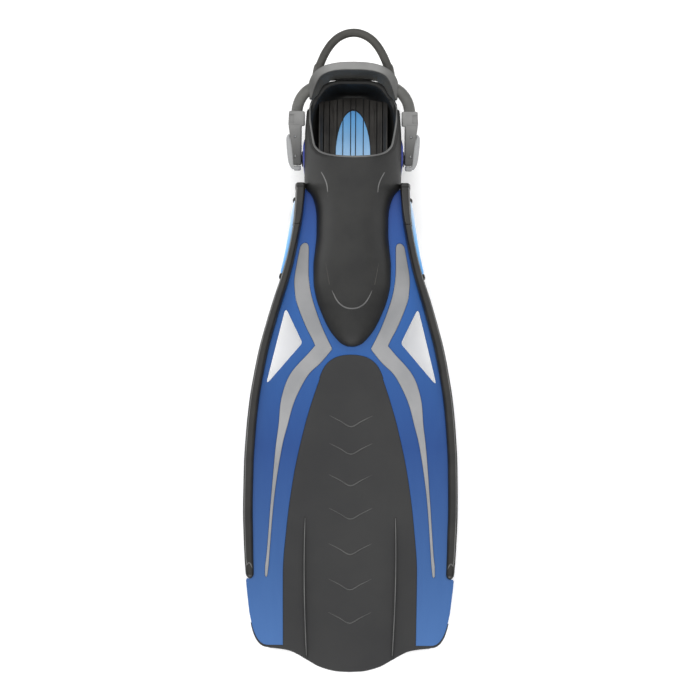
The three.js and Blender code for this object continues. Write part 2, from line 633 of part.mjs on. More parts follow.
function heelPad(grow = 0) {
  const full = [...mirror(PAD_LINE.slice(1)), ...PAD_LINE];
  const curve = new THREE.SplineCurve(full.map(([x, s]) => new THREE.Vector2(x, s)));
  const count = 21;
  const rings = spaced(0, 1, count).map((u) => {
    const at = curve.getPointAt(u);
    const along = curve.getTangentAt(u);
    const out = new THREE.Vector2(-along.y, along.x);
    const k = Math.abs(2 * u - 1);
    const [half, low, high] = [padThick(k) / 2 + grow, padLow(k) - grow, padHigh(k) + grow];
    const middle = (low + high) / 2;
    return spaced(0, Math.PI * 2 * 0.9, 10).map((t) => {
      const across = signedPower(Math.cos(t), 0.5) * half;
      const z = middle + (signedPower(Math.sin(t), 0.6) * (high - low)) / 2;
      const lean = (z - middle) * PAD_LEAN * (1 - k * 0.7);
      return new THREE.Vector3(at.x + out.x * (across + lean), at.y + out.y * (across + lean), z);
    });
  });
  return loft(rings);
}

function pullLoop() {
  const half = [[37.4, 613, 73.6], [36.5, 617.8, 74.8], [32.9, 626.4, 77.2], [29.1, 634.1, 79],
    [23.6, 642.3, 80.4], [16.8, 648.9, 81.3], [8.4, 653.2, 81.9], [0, 654.6, 82]];
  const right = half.map(([x, s, z]) => new THREE.Vector3(x, s, z));
  const left = half.slice(0, -1).map(([x, s, z]) => new THREE.Vector3(-x, s, z)).reverse();
  return cut(rod([...right, ...left], LOOP_R, 8, 26), heelPad(GAP));
}

// ---------- assembly ----------
const fin = new THREE.Group();

function add(name, geometry, material, parent = fin) {
  const mesh = new THREE.Mesh(geometry, material);
  mesh.name = name;
  parent.add(mesh);
  return mesh;
}

// The same piece on both sides, the left one mirrored.
function addPair(name, geometry, material, sides = null) {
  for (const [side, sign] of [["left", -1], ["right", 1]]) {
    const mesh = add(`${name}_${side}`, geometry, material, sides ? sides[side] : fin);
    if (!sides) mesh.scale.x = sign;
  }
}

add("blade_frame", bladeFrame(), BLUE_PLASTIC);
add("blade_channel", bladeChannel(), BLACK_RUBBER);
addPair("blade_inlay", bladeInlay(), GREY_RUBBER);
addPair("side_rail", sideRail(), SOFT_BLACK);
addPair("rail_sleeve", railSleeve(), SOFT_BLACK);
addPair("rail_window", railWindow(), PALE_BLUE);
add("foot_pocket", footPocket(), BLACK_RUBBER);
add("footbed_insert", footbedInsert(), PALE_BLUE);
addPair("stud_plate", studPlate(), BLUE_PLASTIC);

const buckleSides = {};
for (const [side, sign] of [["left", -1], ["right", 1]]) {
  const group = new THREE.Group();
  group.position.set(sign * PIVOT.x, PIVOT.s, PIVOT.z);
  group.rotation.x = TILT;
  group.scale.x = sign;
  fin.add(group);
  buckleSides[side] = group;
}
addPair("buckle_stud", buckleStud(), BUCKLE_PLASTIC, buckleSides);
addPair("stud_screw", studScrew(), STEEL, buckleSides);
addPair("buckle_frame", buckleFrame(), BUCKLE_PLASTIC, buckleSides);
addPair("buckle_lever", buckleLever(), LEVER_GREY, buckleSides);
addPair("lever_pin", bucklePin(LEVER_PIN), STEEL, buckleSides);
addPair("catch_pin", bucklePin(CATCH_PIN), STEEL, buckleSides);
addPair("lever_spring", leverSpring(), STEEL, buckleSides);
addPair("strap_rack", strapRack(), BUCKLE_PLASTIC, buckleSides);
addPair("strap_arm", strapArm(), STRAP_RUBBER);
add("heel_pad", heelPad(), STRAP_RUBBER);
add("pull_loop", pullLoop(), STRAP_RUBBER);

// The origin goes under the middle of the whole fin, on the floor.
const whole = new THREE.Box3().setFromObject(fin);
const centre = whole.getCenter(new THREE.Vector3());
fin.position.set(-centre.x, -centre.y, -whole.min.z);

export default fin;
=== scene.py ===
# %% [markdown]
# # An open-heel swim fin
# A swim fin is two kinds of moulding in one: a stiff plastic blade that pushes the water, and soft rubber
# that holds the foot, lets the middle of the blade bulge and guards the edges. An elastic strap with two
# quick-release buckles closes it behind the heel. The frame below is the working model, with its bodies
# and joints. This lesson puts a fine skin over it and never moves it.

# %% Load the working model
import bisect
import math

import bmesh
import bpy
import numpy as np
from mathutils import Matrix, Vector
from mathutils.geometry import delaunay_2d_cdt


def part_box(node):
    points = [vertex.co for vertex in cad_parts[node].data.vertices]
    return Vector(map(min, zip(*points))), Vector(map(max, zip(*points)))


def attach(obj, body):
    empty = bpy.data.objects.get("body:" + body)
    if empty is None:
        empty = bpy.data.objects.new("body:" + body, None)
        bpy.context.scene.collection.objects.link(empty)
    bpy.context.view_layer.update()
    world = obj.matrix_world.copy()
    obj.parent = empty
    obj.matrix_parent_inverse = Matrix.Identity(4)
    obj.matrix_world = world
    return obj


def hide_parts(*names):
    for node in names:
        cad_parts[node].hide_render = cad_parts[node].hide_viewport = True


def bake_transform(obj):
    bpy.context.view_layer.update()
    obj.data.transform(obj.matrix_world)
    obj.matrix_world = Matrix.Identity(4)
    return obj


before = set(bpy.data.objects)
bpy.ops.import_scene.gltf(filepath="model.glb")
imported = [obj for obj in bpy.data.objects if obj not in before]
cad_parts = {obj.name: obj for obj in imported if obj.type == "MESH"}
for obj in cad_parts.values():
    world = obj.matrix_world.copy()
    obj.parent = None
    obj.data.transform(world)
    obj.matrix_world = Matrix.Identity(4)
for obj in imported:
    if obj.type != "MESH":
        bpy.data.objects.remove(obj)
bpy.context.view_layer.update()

# %% [markdown]
# # Camera and light
# The camera looks almost straight down on the fin from the blade's end, as on a catalogue page. It stands
# far off with a long lens, so the two rails keep their true lines. It comes first, because everything made
# afterwards is judged through it.

# %% Camera
CAMERA_ELEVATION = math.radians(82.5)
CAMERA_DISTANCE = 1.95
CAMERA_ROLL = math.radians(0.42)
PICTURE_WIDTH = 0.721  # metres seen across at the target
SENSOR_WIDTH = 36.0
target = Vector((-0.0016, -0.0006, 0.045))

camera_data = bpy.data.cameras.new("camera")
camera_data.sensor_width = SENSOR_WIDTH
camera_data.lens = SENSOR_WIDTH * CAMERA_DISTANCE / PICTURE_WIDTH
camera = bpy.data.objects.new("camera", camera_data)
bpy.context.scene.collection.objects.link(camera)
back = Vector((0.0, -math.cos(CAMERA_ELEVATION), math.sin(CAMERA_ELEVATION)))
camera.location = target + back * CAMERA_DISTANCE
camera.rotation_euler = (-back).to_track_quat("-Z", "Y").to_euler()
camera.rotation_euler.rotate_axis("Z", CAMERA_ROLL)
bpy.context.scene.camera = camera
print("lens", round(camera_data.lens, 1), "mm")

# %% [markdown]
# Rubber is dark, and a small lamp would only make hard specks on it. Large soft boxes draw long, quiet
# highlights that show its shape, and a bright pale room fills the shadows. The tone curve is set to plain,
# so that a colour mixed for the plastic is the colour seen.

# %% Studio light
scene = bpy.context.scene
scene.view_settings.view_transform = "Standard"
room = bpy.data.worlds.new("studio")
room.use_nodes = True
room.node_tree.nodes["Background"].inputs["Color"].default_value = (1.0, 1.0, 1.0, 1.0)
room.node_tree.nodes["Background"].inputs["Strength"].default_value = 0.36
scene.world = room


def soft_box(name, place_at, aim_at, size, power):
    """A square area light that points at a place."""
    lamp = bpy.data.lights.new(name, "AREA")
    lamp.shape = "RECTANGLE"
    lamp.size, lamp.size_y = size
    lamp.energy = power
    box = bpy.data.objects.new(name, lamp)
    scene.collection.objects.link(box)
    box.location = place_at
    box.rotation_euler = (Vector(aim_at) - Vector(place_at)).to_track_quat("-Z", "Y").to_euler()


soft_box("overhead", (0.0, 0.2, 3.2), (0, 0, 0), (3.2, 3.2), 64.0)
soft_box("side_left", (-1.6, 0.3, 0.8), (0, 0.0, 0), (0.3, 1.9), 20.0)
soft_box("side_right", (1.6, 0.3, 0.8), (0, 0.0, 0), (0.3, 1.9), 12.0)
soft_box("heel_light", (0.0, 1.7, 1.4), (0, 0.2, 0.05), (1.6, 0.5), 16.0)
soft_box("tip_light", (0.0, -1.7, 1.0), (0, 0.0, 0.05), (1.2, 0.4), 17.0)
print("soft boxes:", [lamp.name for lamp in bpy.data.lights])

# %% [markdown]
# The fin lies on a sheet of pale paper. One large square is enough, because the light falls off evenly and
# the sheet's edge is never in view. It belongs to the set and not to the fin, so it rides on no body.

# %% Floor
FLOOR_HALF = 4.0
floor_mesh = bpy.data.meshes.new("floor")
corners = [(-FLOOR_HALF, -FLOOR_HALF, 0), (FLOOR_HALF, -FLOOR_HALF, 0), (FLOOR_HALF, FLOOR_HALF, 0),
           (-FLOOR_HALF, FLOOR_HALF, 0)]
floor_mesh.from_pydata(corners, [], [(0, 1, 2, 3)])
floor = bpy.data.objects.new("floor", floor_mesh)
scene.collection.objects.link(floor)
print("floor", 2 * FLOOR_HALF, "m square")

# %% [markdown]
# # Shader sums
# A finish is a formula: this colour, a little darker where a slow noise is high, a little rougher where
# the mould was sanded. The class below wraps one socket of a node, so that such a formula can be written
# with plus and times, and each operator adds its own Math node.

# %% One socket, with operators
class Wire:
    def __init__(self, socket):
        self.socket = socket

    def node(self, kind, settings, inputs, output=0):
        """Adds a node: its settings first, then the values or wires of its sockets."""
        tree = self.socket.id_data
        made = tree.nodes.new(kind)
        for name, value in settings.items():
            if name == "stops":
                while len(made.color_ramp.elements) < len(value):
                    made.color_ramp.elements.new(0.5)
                for stop, (at, shade) in zip(made.color_ramp.elements, value):
                    stop.position, stop.color = at, shade
            else:
                setattr(made, name, value)
        for name, value in inputs.items():
            if isinstance(value, Wire):
                tree.links.new(value.socket, made.inputs[name])
            else:
                made.inputs[name].default_value = value
        return Wire(made.outputs[output])

    def math(self, operation, first, second):
        return self.node("ShaderNodeMath", {"operation": operation}, {0: first, 1: second})

    def __add__(self, other):
        return self.math("ADD", self, other)

    def __sub__(self, other):
        return self.math("SUBTRACT", self, other)

    def __rsub__(self, other):
        return self.math("SUBTRACT", other, self)

    def __mul__(self, other):
        return self.math("MULTIPLY", self, other)

    __radd__ = __add__
    __rmul__ = __mul__

    def between(self, low, high):
        """0 below low, 1 above high and a straight slope between them."""
        ends = {"Value": self, "From Min": low, "From Max": high}
        return self.node("ShaderNodeMapRange", {"clamp": True}, ends)

    def blend(self, first, second):
        """From the first colour to the second as this goes from 0 to 1."""
        return self.node("ShaderNodeMix", {"data_type": "RGBA"}, {0: self, 6: first, 7: second}, 2)


def srgb(red, green, blue):
    """A display colour from 0 to 255 as the linear colour that a shader wants."""
    scaled = [v / 255 for v in (red, green, blue)]
    return (*[v / 12.92 if v <= 0.04045 else ((v + 0.055) / 1.055) ** 2.4 for v in scaled], 1.0)


print("mid grey is", round(srgb(128, 128, 128)[0], 3), "in linear light")

# %% [markdown]
# Every finish starts and ends in the same way. It starts from the place of a point on the piece, in metres,
# so that a grain of half a millimetre is half a millimetre on every piece. It ends in a colour, a roughness
# and a bump whose depth is also in metres.

# %% Noise and bump on the surface
def begin(name):
    """A new material with its surface shader and the wire that says where a point is on the piece."""
    material = bpy.data.materials.new(name)
    material.use_nodes = True
    tree = material.node_tree
    at = Wire(tree.nodes.new("ShaderNodeTexCoord").outputs["Object"])
    return material, tree.nodes["Principled BSDF"], at


def noise(at, size, detail=3.0, stretch=(1, 1, 1)):
    """A soft noise with lumps about size metres across, drawn out along an axis where stretch is small."""
    spread = at.node("ShaderNodeMapping", {}, {"Vector": at, "Scale": stretch})
    return at.node("ShaderNodeTexNoise", {}, {"Vector": spread, "Scale": 1 / size, "Detail": detail})


def finish_surface(shader, colour, roughness, height, depth):
    """Wires colour, roughness and a bump of the given depth in metres to the surface shader."""
    tree = shader.id_data
    tree.links.new(colour.socket, shader.inputs["Base Color"])
    tree.links.new(roughness.socket, shader.inputs["Roughness"])
    bump = height.node("ShaderNodeBump", {}, {"Height": height, "Distance": depth, "Strength": 1.0})
    tree.links.new(bump.socket, shader.inputs["Normal"])


print("helpers for a finish:", begin.__name__, noise.__name__, finish_surface.__name__)

# %% [markdown]
# ## Moulded rubber
# The foot pocket, the rails and the strap are thermoplastic rubber. It comes from a spark-eroded mould with
# a fine, even grain of about half a millimetre, and its black is a dark warm grey whose tone drifts in slow
# patches. Two noises do that: a fine one for the grain, a slow one for the tone. One function makes them
# all, and each rubber is a dark and a pale shade in it. It can also paint a highlight: a paler shade on
# the faces that look up, which the heel pad uses in place of the overhead light's reflection.

# %% Rubber
def rubber(name, deep, pale, rough=0.5, grain=0.0006, depth=0.00006, tone=0.03, top_highlight=None):
    """Grained rubber; the last argument, a colour or None, paints a highlight: a paler shade on the faces
    that look up.

    grain, depth and tone are the grain's size, its depth and the size of the slow patches, in metres.
    """
    material, shader, at = begin(name)
    slow = noise(at, tone, 4.0)
    fine = noise(at, grain, 2.0)
    colour = slow.between(0.35, 0.68).blend(srgb(*deep), srgb(*pale))
    # painted highlight: faces that look up are made paler, less so on the pad's sides
    if top_highlight:
        normal = at.node("ShaderNodeTexCoord", {}, {}, "Normal")
        up = at.node("ShaderNodeSeparateXYZ", {}, {"Vector": normal}, 2)
        apart = at.node("ShaderNodeSeparateXYZ", {}, {"Vector": at}, 0)
        beside = apart.math("ABSOLUTE", apart, 0.0).between(0.024, 0.042) * 0.7
        colour = (up.between(0.6, 0.95) * (1 - beside) * (0.6 + slow * 0.5)).blend(colour, srgb(*top_highlight))
    finish_surface(shader, colour, rough - 0.06 + slow * 0.12 + fine * 0.05, fine, depth)
    shader.inputs["Specular IOR Level"].default_value = 0.3
    return material


pocket_rubber = rubber("pocket_rubber", (23, 23, 23), (33, 33, 32), 0.5)
# a pale rubber for thin beads and crests: a painted highlight
highlight_rubber = rubber("highlight_rubber", (78, 78, 78), (98, 98, 97), 0.42)
# a paler grey rubber for the channel chevrons
pale_chevron_rubber = rubber("pale_chevron_rubber", (58, 58, 58), (74, 74, 73), 0.45)
channel_rubber = rubber("channel_rubber", (34, 34, 35), (41, 41, 41), 0.6, 0.0005, 0.00005, 0.06)
rail_rubber = rubber("rail_rubber", (20, 20, 20), (34, 33, 31), 0.34, 0.0005, 0.00003)
strap_rubber = rubber("strap_rubber", (70, 70, 68), (86, 86, 83), 0.46, 0.0005, 0.00004, 0.02)
loop_rubber = rubber("loop_rubber", (50, 49, 46), (62, 61, 57), 0.46, 0.0005, 0.00004, 0.02)
# the last colour paints a highlight on the pad's faces that look up
pad_rubber = rubber("pad_rubber", (60, 60, 58), (72, 72, 70), 0.46, 0.0005, 0.00004, 0.02, (122, 122, 121))
footbed_rubber = rubber("footbed_rubber", (44, 42, 40), (60, 58, 55), 0.52, 0.0006, 0.00006, 0.02)
inlay_rubber = rubber("inlay_rubber", (122, 123, 125), (138, 138, 139), 0.5, 0.0005, 0.00004, 0.05)
print(len(bpy.data.materials), "rubbers")

# %% [markdown]
# ## Blade plastic
# The blade is a stiff blue polymer with a satin skin. Its blue is lighter at the thin free end, deeper in
# the middle and brighter again toward the foot, so a colour ramp runs along the fin. The lighter free end
# is partly the plastic's own tone and partly a painted reflection of a soft box. Fine flow lines from the
# mould run the same way, so the noise for them is drawn out far along Y. The pale pieces are the same
# plastic with other shades in the ramp.

# %% Blue plastics
TIP_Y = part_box("blade_channel")[0].y
SHADE_LENGTH = 700  # mm from the tip to the end of a run of shades


def along_fin(at):
    """The distance from the blade's tip, in metres, as a wire."""
    return at.node("ShaderNodeSeparateXYZ", {}, {"Vector": at}, 1) - TIP_Y


def blade_plastic(name, shades, rough):
    """A satin plastic whose shade runs along the fin: shades are (distance in mm, colour)."""
    material, shader, at = begin(name)
    stops = [(s / SHADE_LENGTH, srgb(*shade)) for s, shade in shades]
    share = along_fin(at) * (1000 / SHADE_LENGTH)
    colour = share.node("ShaderNodeValToRGB", {"stops": stops}, {"Fac": share})
    flow = noise(at, 0.006, 3.0, (1, 0.06, 1))
    fine = noise(at, 0.0004, 2.0)
    deeper = colour.node("ShaderNodeMix", {"data_type": "RGBA", "blend_type": "MULTIPLY"},
                         {0: flow.between(0.4, 0.8) * 0.22, 6: colour, 7: (0.72, 0.78, 0.86, 1)}, 2)
    finish_surface(shader, deeper, rough + flow * 0.1, fine, 0.000025)
    shader.inputs["Specular IOR Level"].default_value = 0.3
    return material


# the light blue near the tip is partly a painted reflection of a soft box
blade_tone_and_sheen = [(0, (58, 97, 150)), (110, (40, 78, 130)), (230, (14, 58, 116)), (340, (24, 74, 134)),
                (400, (22, 78, 144)), (500, (26, 64, 140))]
insert_shades = [(430, (186, 222, 252)), (530, (176, 216, 252)), (575, (118, 186, 244)),
                 (592, (96, 166, 234))]
window_shades = [(400, (84, 150, 212)), (440, (120, 176, 226)), (475, (178, 200, 222)),
                 (490, (190, 204, 220))]
blade_blue = blade_plastic("blade_blue", blade_tone_and_sheen, 0.44)
insert_blue = blade_plastic("insert_blue", insert_shades, 0.36)
window_blue = blade_plastic("window_blue", window_shades, 0.3)
stud_blue = blade_plastic("stud_blue", [(500, (34, 46, 118)), (550, (42, 56, 132))], 0.36)
print("the blade's tip is at y", round(TIP_Y, 3), "m")

# %% [markdown]
# ## Buckle plastic, lever and steel
# The buckles are glass-filled nylon, greyer than the rubber, darker toward the stud and paler toward the
# collar. The levers are painted silver: tiny flakes turn the light, so their shade and roughness change
# from flake to flake. The pins and springs are drawn stainless steel with lines along the wire.

# %% Buckle finishes
def buckle_nylon():
    material, shader, at = begin("buckle_nylon")
    slow, fine = noise(at, 0.012, 4.0), noise(at, 0.0007, 2.0)
    # darker toward the stud, paler toward the collar
    toward_collar = along_fin(at).between(0.528, 0.566) * (0.7 + slow * 0.5)
    colour = toward_collar.blend(srgb(58, 58, 57), srgb(108, 108, 107))
    finish_surface(shader, colour, 0.34 + fine * 0.16, fine, 0.00005)
    return material


def silver_paint():
    material, shader, at = begin("silver_paint")
    cell = at.node("ShaderNodeTexVoronoi", {}, {"Vector": at, "Scale": 2500.0}, 1)
    flake = cell.node("ShaderNodeSeparateXYZ", {}, {"Vector": cell}, 0)
    scuff = noise(at, 0.003, 5.0).between(0.6, 0.75)
    colour = (flake * 0.5 + scuff * 0.3).blend(srgb(128, 129, 130), srgb(156, 157, 158))
    finish_surface(shader, colour, 0.3 + flake * 0.12, flake, 0.00001)
    shader.inputs["Metallic"].default_value = 0.2
    return material


def drawn_steel():
    material, shader, at = begin("drawn_steel")
    lines = noise(at, 0.0008, 3.0, (1, 1, 0.1))
    colour = lines.blend(srgb(104, 105, 108), srgb(150, 150, 152))
    finish_surface(shader, colour, 0.22 + lines * 0.2, lines, 0.00001)
    shader.inputs["Metallic"].default_value = 1.0
    return material


nylon, silver, steel = buckle_nylon(), silver_paint(), drawn_steel()
print("buckle finishes:", nylon.name, silver.name, steel.name)

# %% [markdown]
# The floor is matt paper with a faint tooth. It glows a very little, so that it stays white right up to the
# fin and only the contact shadow darkens it.

# %% Floor finish
def studio_paper():
    material, shader, at = begin("studio_paper")
    tooth = noise(at, 0.002, 3.0)
    colour = noise(at, 0.8, 2.0).blend((0.93, 0.93, 0.93, 1), (0.96, 0.96, 0.96, 1))
    finish_surface(shader, colour, 0.85 + tooth * 0.1, tooth, 0.00002)
    shader.inputs["Specular IOR Level"].default_value = 0.1
    shader.inputs["Emission Color"].default_value = (1, 1, 1, 1)
    shader.inputs["Emission Strength"].default_value = 0.12
    return material


floor_mesh.materials.append(studio_paper())
print(len(bpy.data.materials), "materials")

# %% [markdown]
# # Helpers for shape
# Every piece is drawn in the maker's own measures: x across the fin, s along it from the blade's tip and z
# up from the floor, all in millimetres. Curves that change along the fin are held as a few stations with a
# smooth function through them, so a whole edge is a short list that can be read and altered.

# %% Curves through a few points
MM = 0.001


def place(x, s, z):
    """Millimetres on the fin as metres in the frame."""
    return Vector((x * MM, TIP_Y + s * MM, z * MM))


def profile(stations):
    """A smooth function through (s, value) stations, with no overshoot between them."""
    steps = [(b[1] - a[1]) / (b[0] - a[0]) for a, b in zip(stations, stations[1:])]
    slopes = [steps[0]]
    for before, after in zip(steps, steps[1:]):
        slopes.append(2 * before * after / (before + after) if before * after > 0 else 0.0)
    slopes.append(steps[-1])
    starts = [s for s, _ in stations]

    def value(s):
        if s <= starts[0]:
            return stations[0][1]
        if s >= starts[-1]:
            return stations[-1][1]
        i = bisect.bisect_right(starts, s) - 1
        (s0, v0), (s1, v1) = stations[i], stations[i + 1]
        t = (s - s0) / (s1 - s0)
        return (v0 * (1 + 2 * t) * (1 - t) ** 2 + (s1 - s0) * slopes[i] * t * (1 - t) ** 2
                + v1 * t * t * (3 - 2 * t) + (s1 - s0) * slopes[i + 1] * t * t * (t - 1))

    return value


def spaced(start, end, count):
    """Evenly spaced numbers, with both ends."""
    return [start + (end - start) * i / (count - 1) for i in range(count)]


def smooth(points, per_span):
    """Points on a smooth open curve through the given points, in two or three dimensions."""
    line = [Vector(p) for p in points]
    ends = len(line) - 1
    curve = []
    for i in range(ends):
        before, a, b, after = line[max(i - 1, 0)], line[i], line[i + 1], line[min(i + 2, ends)]
        for k in range(per_span):
            t = k / per_span
            lift, fall = (b - before) * 0.5, (after - a) * 0.5
            curve.append((2 * (a - b) + lift + fall) * t ** 3 + (3 * (b - a) - 2 * lift - fall) * t ** 2
                         + lift * t + a)
    curve.append(line[-1])
    return [tuple(p) for p in curve]


def rounded(corners, steps=6):
    """A closed outline with rounded corners: each corner is (a, b, radius)."""
    outline = []
    for i, (a, b, radius) in enumerate(corners):
        here = Vector((a, b))
        beside = [Vector(corners[j % len(corners)][:2]) for j in (i - 1, i + 1)]
        back, on = [(corner - here).normalized() for corner in beside]
        setback = radius / math.tan(back.angle(on) / 2)
        first, last = here + back * setback, here + on * setback
        for t in spaced(0, 1, steps + 1):
            outline.append(tuple(first * (1 - t) ** 2 + here * (2 * t * (1 - t)) + last * t * t))
    return outline


def mirrored(points):
    """The left half of an outline; points on the middle line are not repeated."""
    return [(-x, s) for x, s in reversed(points) if x != 0]


print("half way up a curve from 0 to 1:", round(profile([(0, 0), (1, 1)])(0.5), 3))

# %% [markdown]
# Two ways of making a solid cover almost the whole fin. A loft joins rings of points, and suits rails,
# rubber shells and cords. A slab fills an outline, rounds its edges and follows a curved surface, and
# suits the blade and the flat parts of the buckles. Each one gives a list of points and a list of faces.

# %% Lofts, tubes and turned parts
def loft(rings):
    """A closed solid through rings that hold the same number of points."""
    around = len(rings[0])
    faces = [tuple(reversed(range(around)))]
    for r in range(len(rings) - 1):
        for i in range(around):
            a, b = r * around + i, r * around + (i + 1) % around
            faces.append((a, b, b + around, a + around))
    faces.append(tuple(range((len(rings) - 1) * around, len(rings) * around)))
    return [p for ring in rings for p in ring], faces


def tube(line, radius, sides=24, up=Vector((0, 0, 1))):
    """A round bar with domed ends along a line; its radius may be a function of the share of the way."""
    path = [Vector(p) for p in line]
    width = radius if callable(radius) else (lambda share: radius)
    start = (path[1] - path[0]).normalized()
    end = (path[-1] - path[-2]).normalized()
    domes = [math.radians(a) for a in (8, 35, 62, 90)]
    tip = [(path[0] - start * width(0) * math.cos(a), width(0) * math.sin(a), start) for a in domes[:-1]]
    tail = [(path[-1] + end * width(1) * math.cos(a), width(1) * math.sin(a), end)
            for a in reversed(domes[:-1])]
    middle = []
    for i, p in enumerate(path):
        along = (path[min(i + 1, len(path) - 1)] - path[max(i - 1, 0)]).normalized()
        middle.append((p, width(i / (len(path) - 1)), along))
    rings = []
    for centre, r, along in tip + middle + tail:
        side = along.cross(up).normalized()
        over = side.cross(along)
        turns = [2 * math.pi * k / sides for k in range(sides)]
        rings.append([tuple(centre + side * (r * math.cos(t)) + over * (r * math.sin(t))) for t in turns])
    return loft(rings)


def turned(outline, centre, axis, sides=40):
    """A part turned on a lathe: (radius, height) points about an axis through the centre."""
    axis = Vector(axis).normalized()
    side = axis.orthogonal().normalized()
    over = axis.cross(side)
    turns = [2 * math.pi * k / sides for k in range(sides)]
    return loft([[tuple(Vector(centre) + axis * h + (side * math.cos(t) + over * math.sin(t)) * r)
                  for t in turns] for r, h in outline])


rod_points, rod_faces = tube([(0, 0, 0), (10, 0, 0)], 2)
print("a plain rod has", len(rod_points), "points and", len(rod_faces), "faces")

# %% [markdown]
# The slab needs more care. Its rim is a stack of outlines that step inward round the edge, and its two flat
# sides are filled with a grid of points, so that the plate can bend. Blender's own triangle filler joins
# the grid to the outlines and leaves the holes open.

# %% Slabs
def offset(points, distance):
    """Moves a closed outline inward by a distance, or outward when it is negative."""
    line = [Vector(p[:2]) for p in points]
    area = sum(a.x * b.y - b.x * a.y for a, b in zip(line, line[1:] + line[:1]))
    turn = 1 if area > 0 else -1
    moved = []
    for i, here in enumerate(line):
        first = (here - line[i - 1]).normalized()
        second = (line[(i + 1) % len(line)] - here).normalized()
        normal = Vector((-first.y - second.y, first.x + second.x)) * turn
        moved.append(tuple(here + normal * (distance / max(1 + first.dot(second), 0.5))))
    return moved


def inside(points, loop):
    """Which of the points lie inside a closed outline."""
    x, y = points[:, 0], points[:, 1]
    hit = np.zeros(len(points), bool)
    for (ax, ay), (bx, by) in zip(loop, loop[1:] + loop[:1]):
        if ay != by:
            hit ^= ((ay > y) != (by > y)) & (x < (bx - ax) * (y - ay) / (by - ay) + ax)
    return hit


def slab(outline, thick, edge, holes=(), grid=5.0, surface=None):
    """A plate with rounded edges, as points (a, b, height) whose middle follows surface(a, b)."""
    surface = surface or (lambda a, b: 0.0)
    half = thick / 2
    arc = [math.radians(a) for a in (90, 60, 30, 0)]
    levels = [(edge * (1 - math.cos(a)), -half + edge - edge * math.sin(a)) for a in arc]
    levels += [(inset, -height) for inset, height in reversed(levels)]
    vertices, faces, caps = [], [], []
    loops = [(list(outline), 1)] + [(list(hole), -1) for hole in holes]
    for points, way in loops:
        first, count = len(vertices), len(points)
        for inset, height in levels:
            vertices += [(a, b, surface(a, b) + height) for a, b in offset(points, inset * way)]
        for k in range(len(levels) - 1):
            for i in range(count):
                p, q = first + k * count + i, first + k * count + (i + 1) % count
                faces.append((p, q, q + count, p + count))
        caps.append((first, first + (len(levels) - 1) * count, count))
    rims = [[vertices[top + i][:2] for i in range(count)] for _, top, count in caps]
    flat = np.array(rims[0])
    low, high = flat.min(0), flat.max(0)
    mesh_a, mesh_b = np.meshgrid(np.arange(low[0], high[0], grid), np.arange(low[1], high[1], grid))
    extra = np.column_stack([mesh_a.ravel(), mesh_b.ravel()])
    keep = inside(extra, offset(rims[0], grid * 0.4))
    for rim in rims[1:]:
        keep &= ~inside(extra, offset(rim, -grid * 0.4))
    extra = extra[keep]
    flat_points = [Vector(p) for rim in rims for p in rim] + [Vector(p) for p in extra]
    edges, at = [], 0
    for rim in rims:
        edges += [(at + i, at + (i + 1) % len(rim)) for i in range(len(rim))]
        at += len(rim)
    placed, _, triangles, origin, _, _ = delaunay_2d_cdt(flat_points, edges, [], 0, 1e-5)
    spots = np.array([tuple(p) for p in placed])
    centres = np.array([spots[list(t)].mean(0) for t in triangles])
    solid = inside(centres, rims[0])
    for rim in rims[1:]:
        solid &= ~inside(centres, rim)
    for side, height in ((0, -half), (1, half)):
        index = [first + i for caps_of in caps for first in [caps_of[side]] for i in range(caps_of[2])]
        index += range(len(vertices), len(vertices) + len(extra))
        vertices += [(a, b, surface(a, b) + height) for a, b in extra.tolist()]
        for triangle, kept in zip(triangles, solid):
            if kept:
                faces.append(tuple(index[origin[v][0]] for v in triangle))
    return vertices, faces


tile = slab(rounded([(0, 0, 2), (20, 0, 2), (20, 20, 2), (0, 20, 2)]), 3, 1)
print("a square tile has", len(tile[1]), "faces")

# %% [markdown]
# A piece is a mesh with a finish that rides on one body of the frame. Its faces are turned outward, and its
# edges are shaded soft except where they turn sharply, as moulded parts are.

# %% Making a piece
def mesh_of(name, shape, sharp=38):
    """A mesh from points and faces, with its sharp edges marked above an angle in degrees."""
    mesh = bpy.data.meshes.new(name)
    mesh.from_pydata([place(*p) for p in shape[0]], [], shape[1])
    work = bmesh.new()
    work.from_mesh(mesh)
    bmesh.ops.remove_doubles(work, verts=work.verts, dist=0.000004)
    bmesh.ops.recalc_face_normals(work, faces=work.faces)
    work.to_mesh(mesh)
    work.free()
    mesh.shade_smooth()
    mesh.set_sharp_from_angle(angle=math.radians(sharp))
    return mesh


def piece(name, shape, body, slot, finish, replaces=(), sharp=38):
    """A finished piece of the fin; shape is points and faces, or a mesh that is ready."""
    mesh = shape if isinstance(shape, bpy.types.Mesh) else mesh_of(name, shape, sharp)
    mesh.name = name
    mesh.materials.clear()
    mesh.materials.append(finish)
    made = bpy.data.objects.new(name, mesh)
    scene.collection.objects.link(made)
    if body:
        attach(made, body)
    if replaces:
        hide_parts(*replaces)
    print(name, len(mesh.polygons), "faces")
    return made


def flipped(shape):
    """The same shape on the left side."""
    return [(-x, s, z) for x, s, z in shape[0]], shape[1]


def together(*shapes):
    """Several closed shapes as one list of points and faces."""
    vertices, faces = [], []
    for points, sides in shapes:
        faces += [tuple(len(vertices) + v for v in face) for face in sides]
        vertices += points
    return vertices, faces


def pair(name, shape, body, slot, finish, replaces=True, sharp=38):
    """A right piece and its mirror image on the left."""
    for side, one in (("right", shape), ("left", flipped(shape))):
        nodes = (f"{name}_{side}",) if replaces else ()
        piece(f"{name}_{side}_skin", one, body.format(side=side), slot, finish, nodes, sharp)


print("100 mm up the middle of the fin is at", [round(v, 3) for v in place(0, 100, 0)])

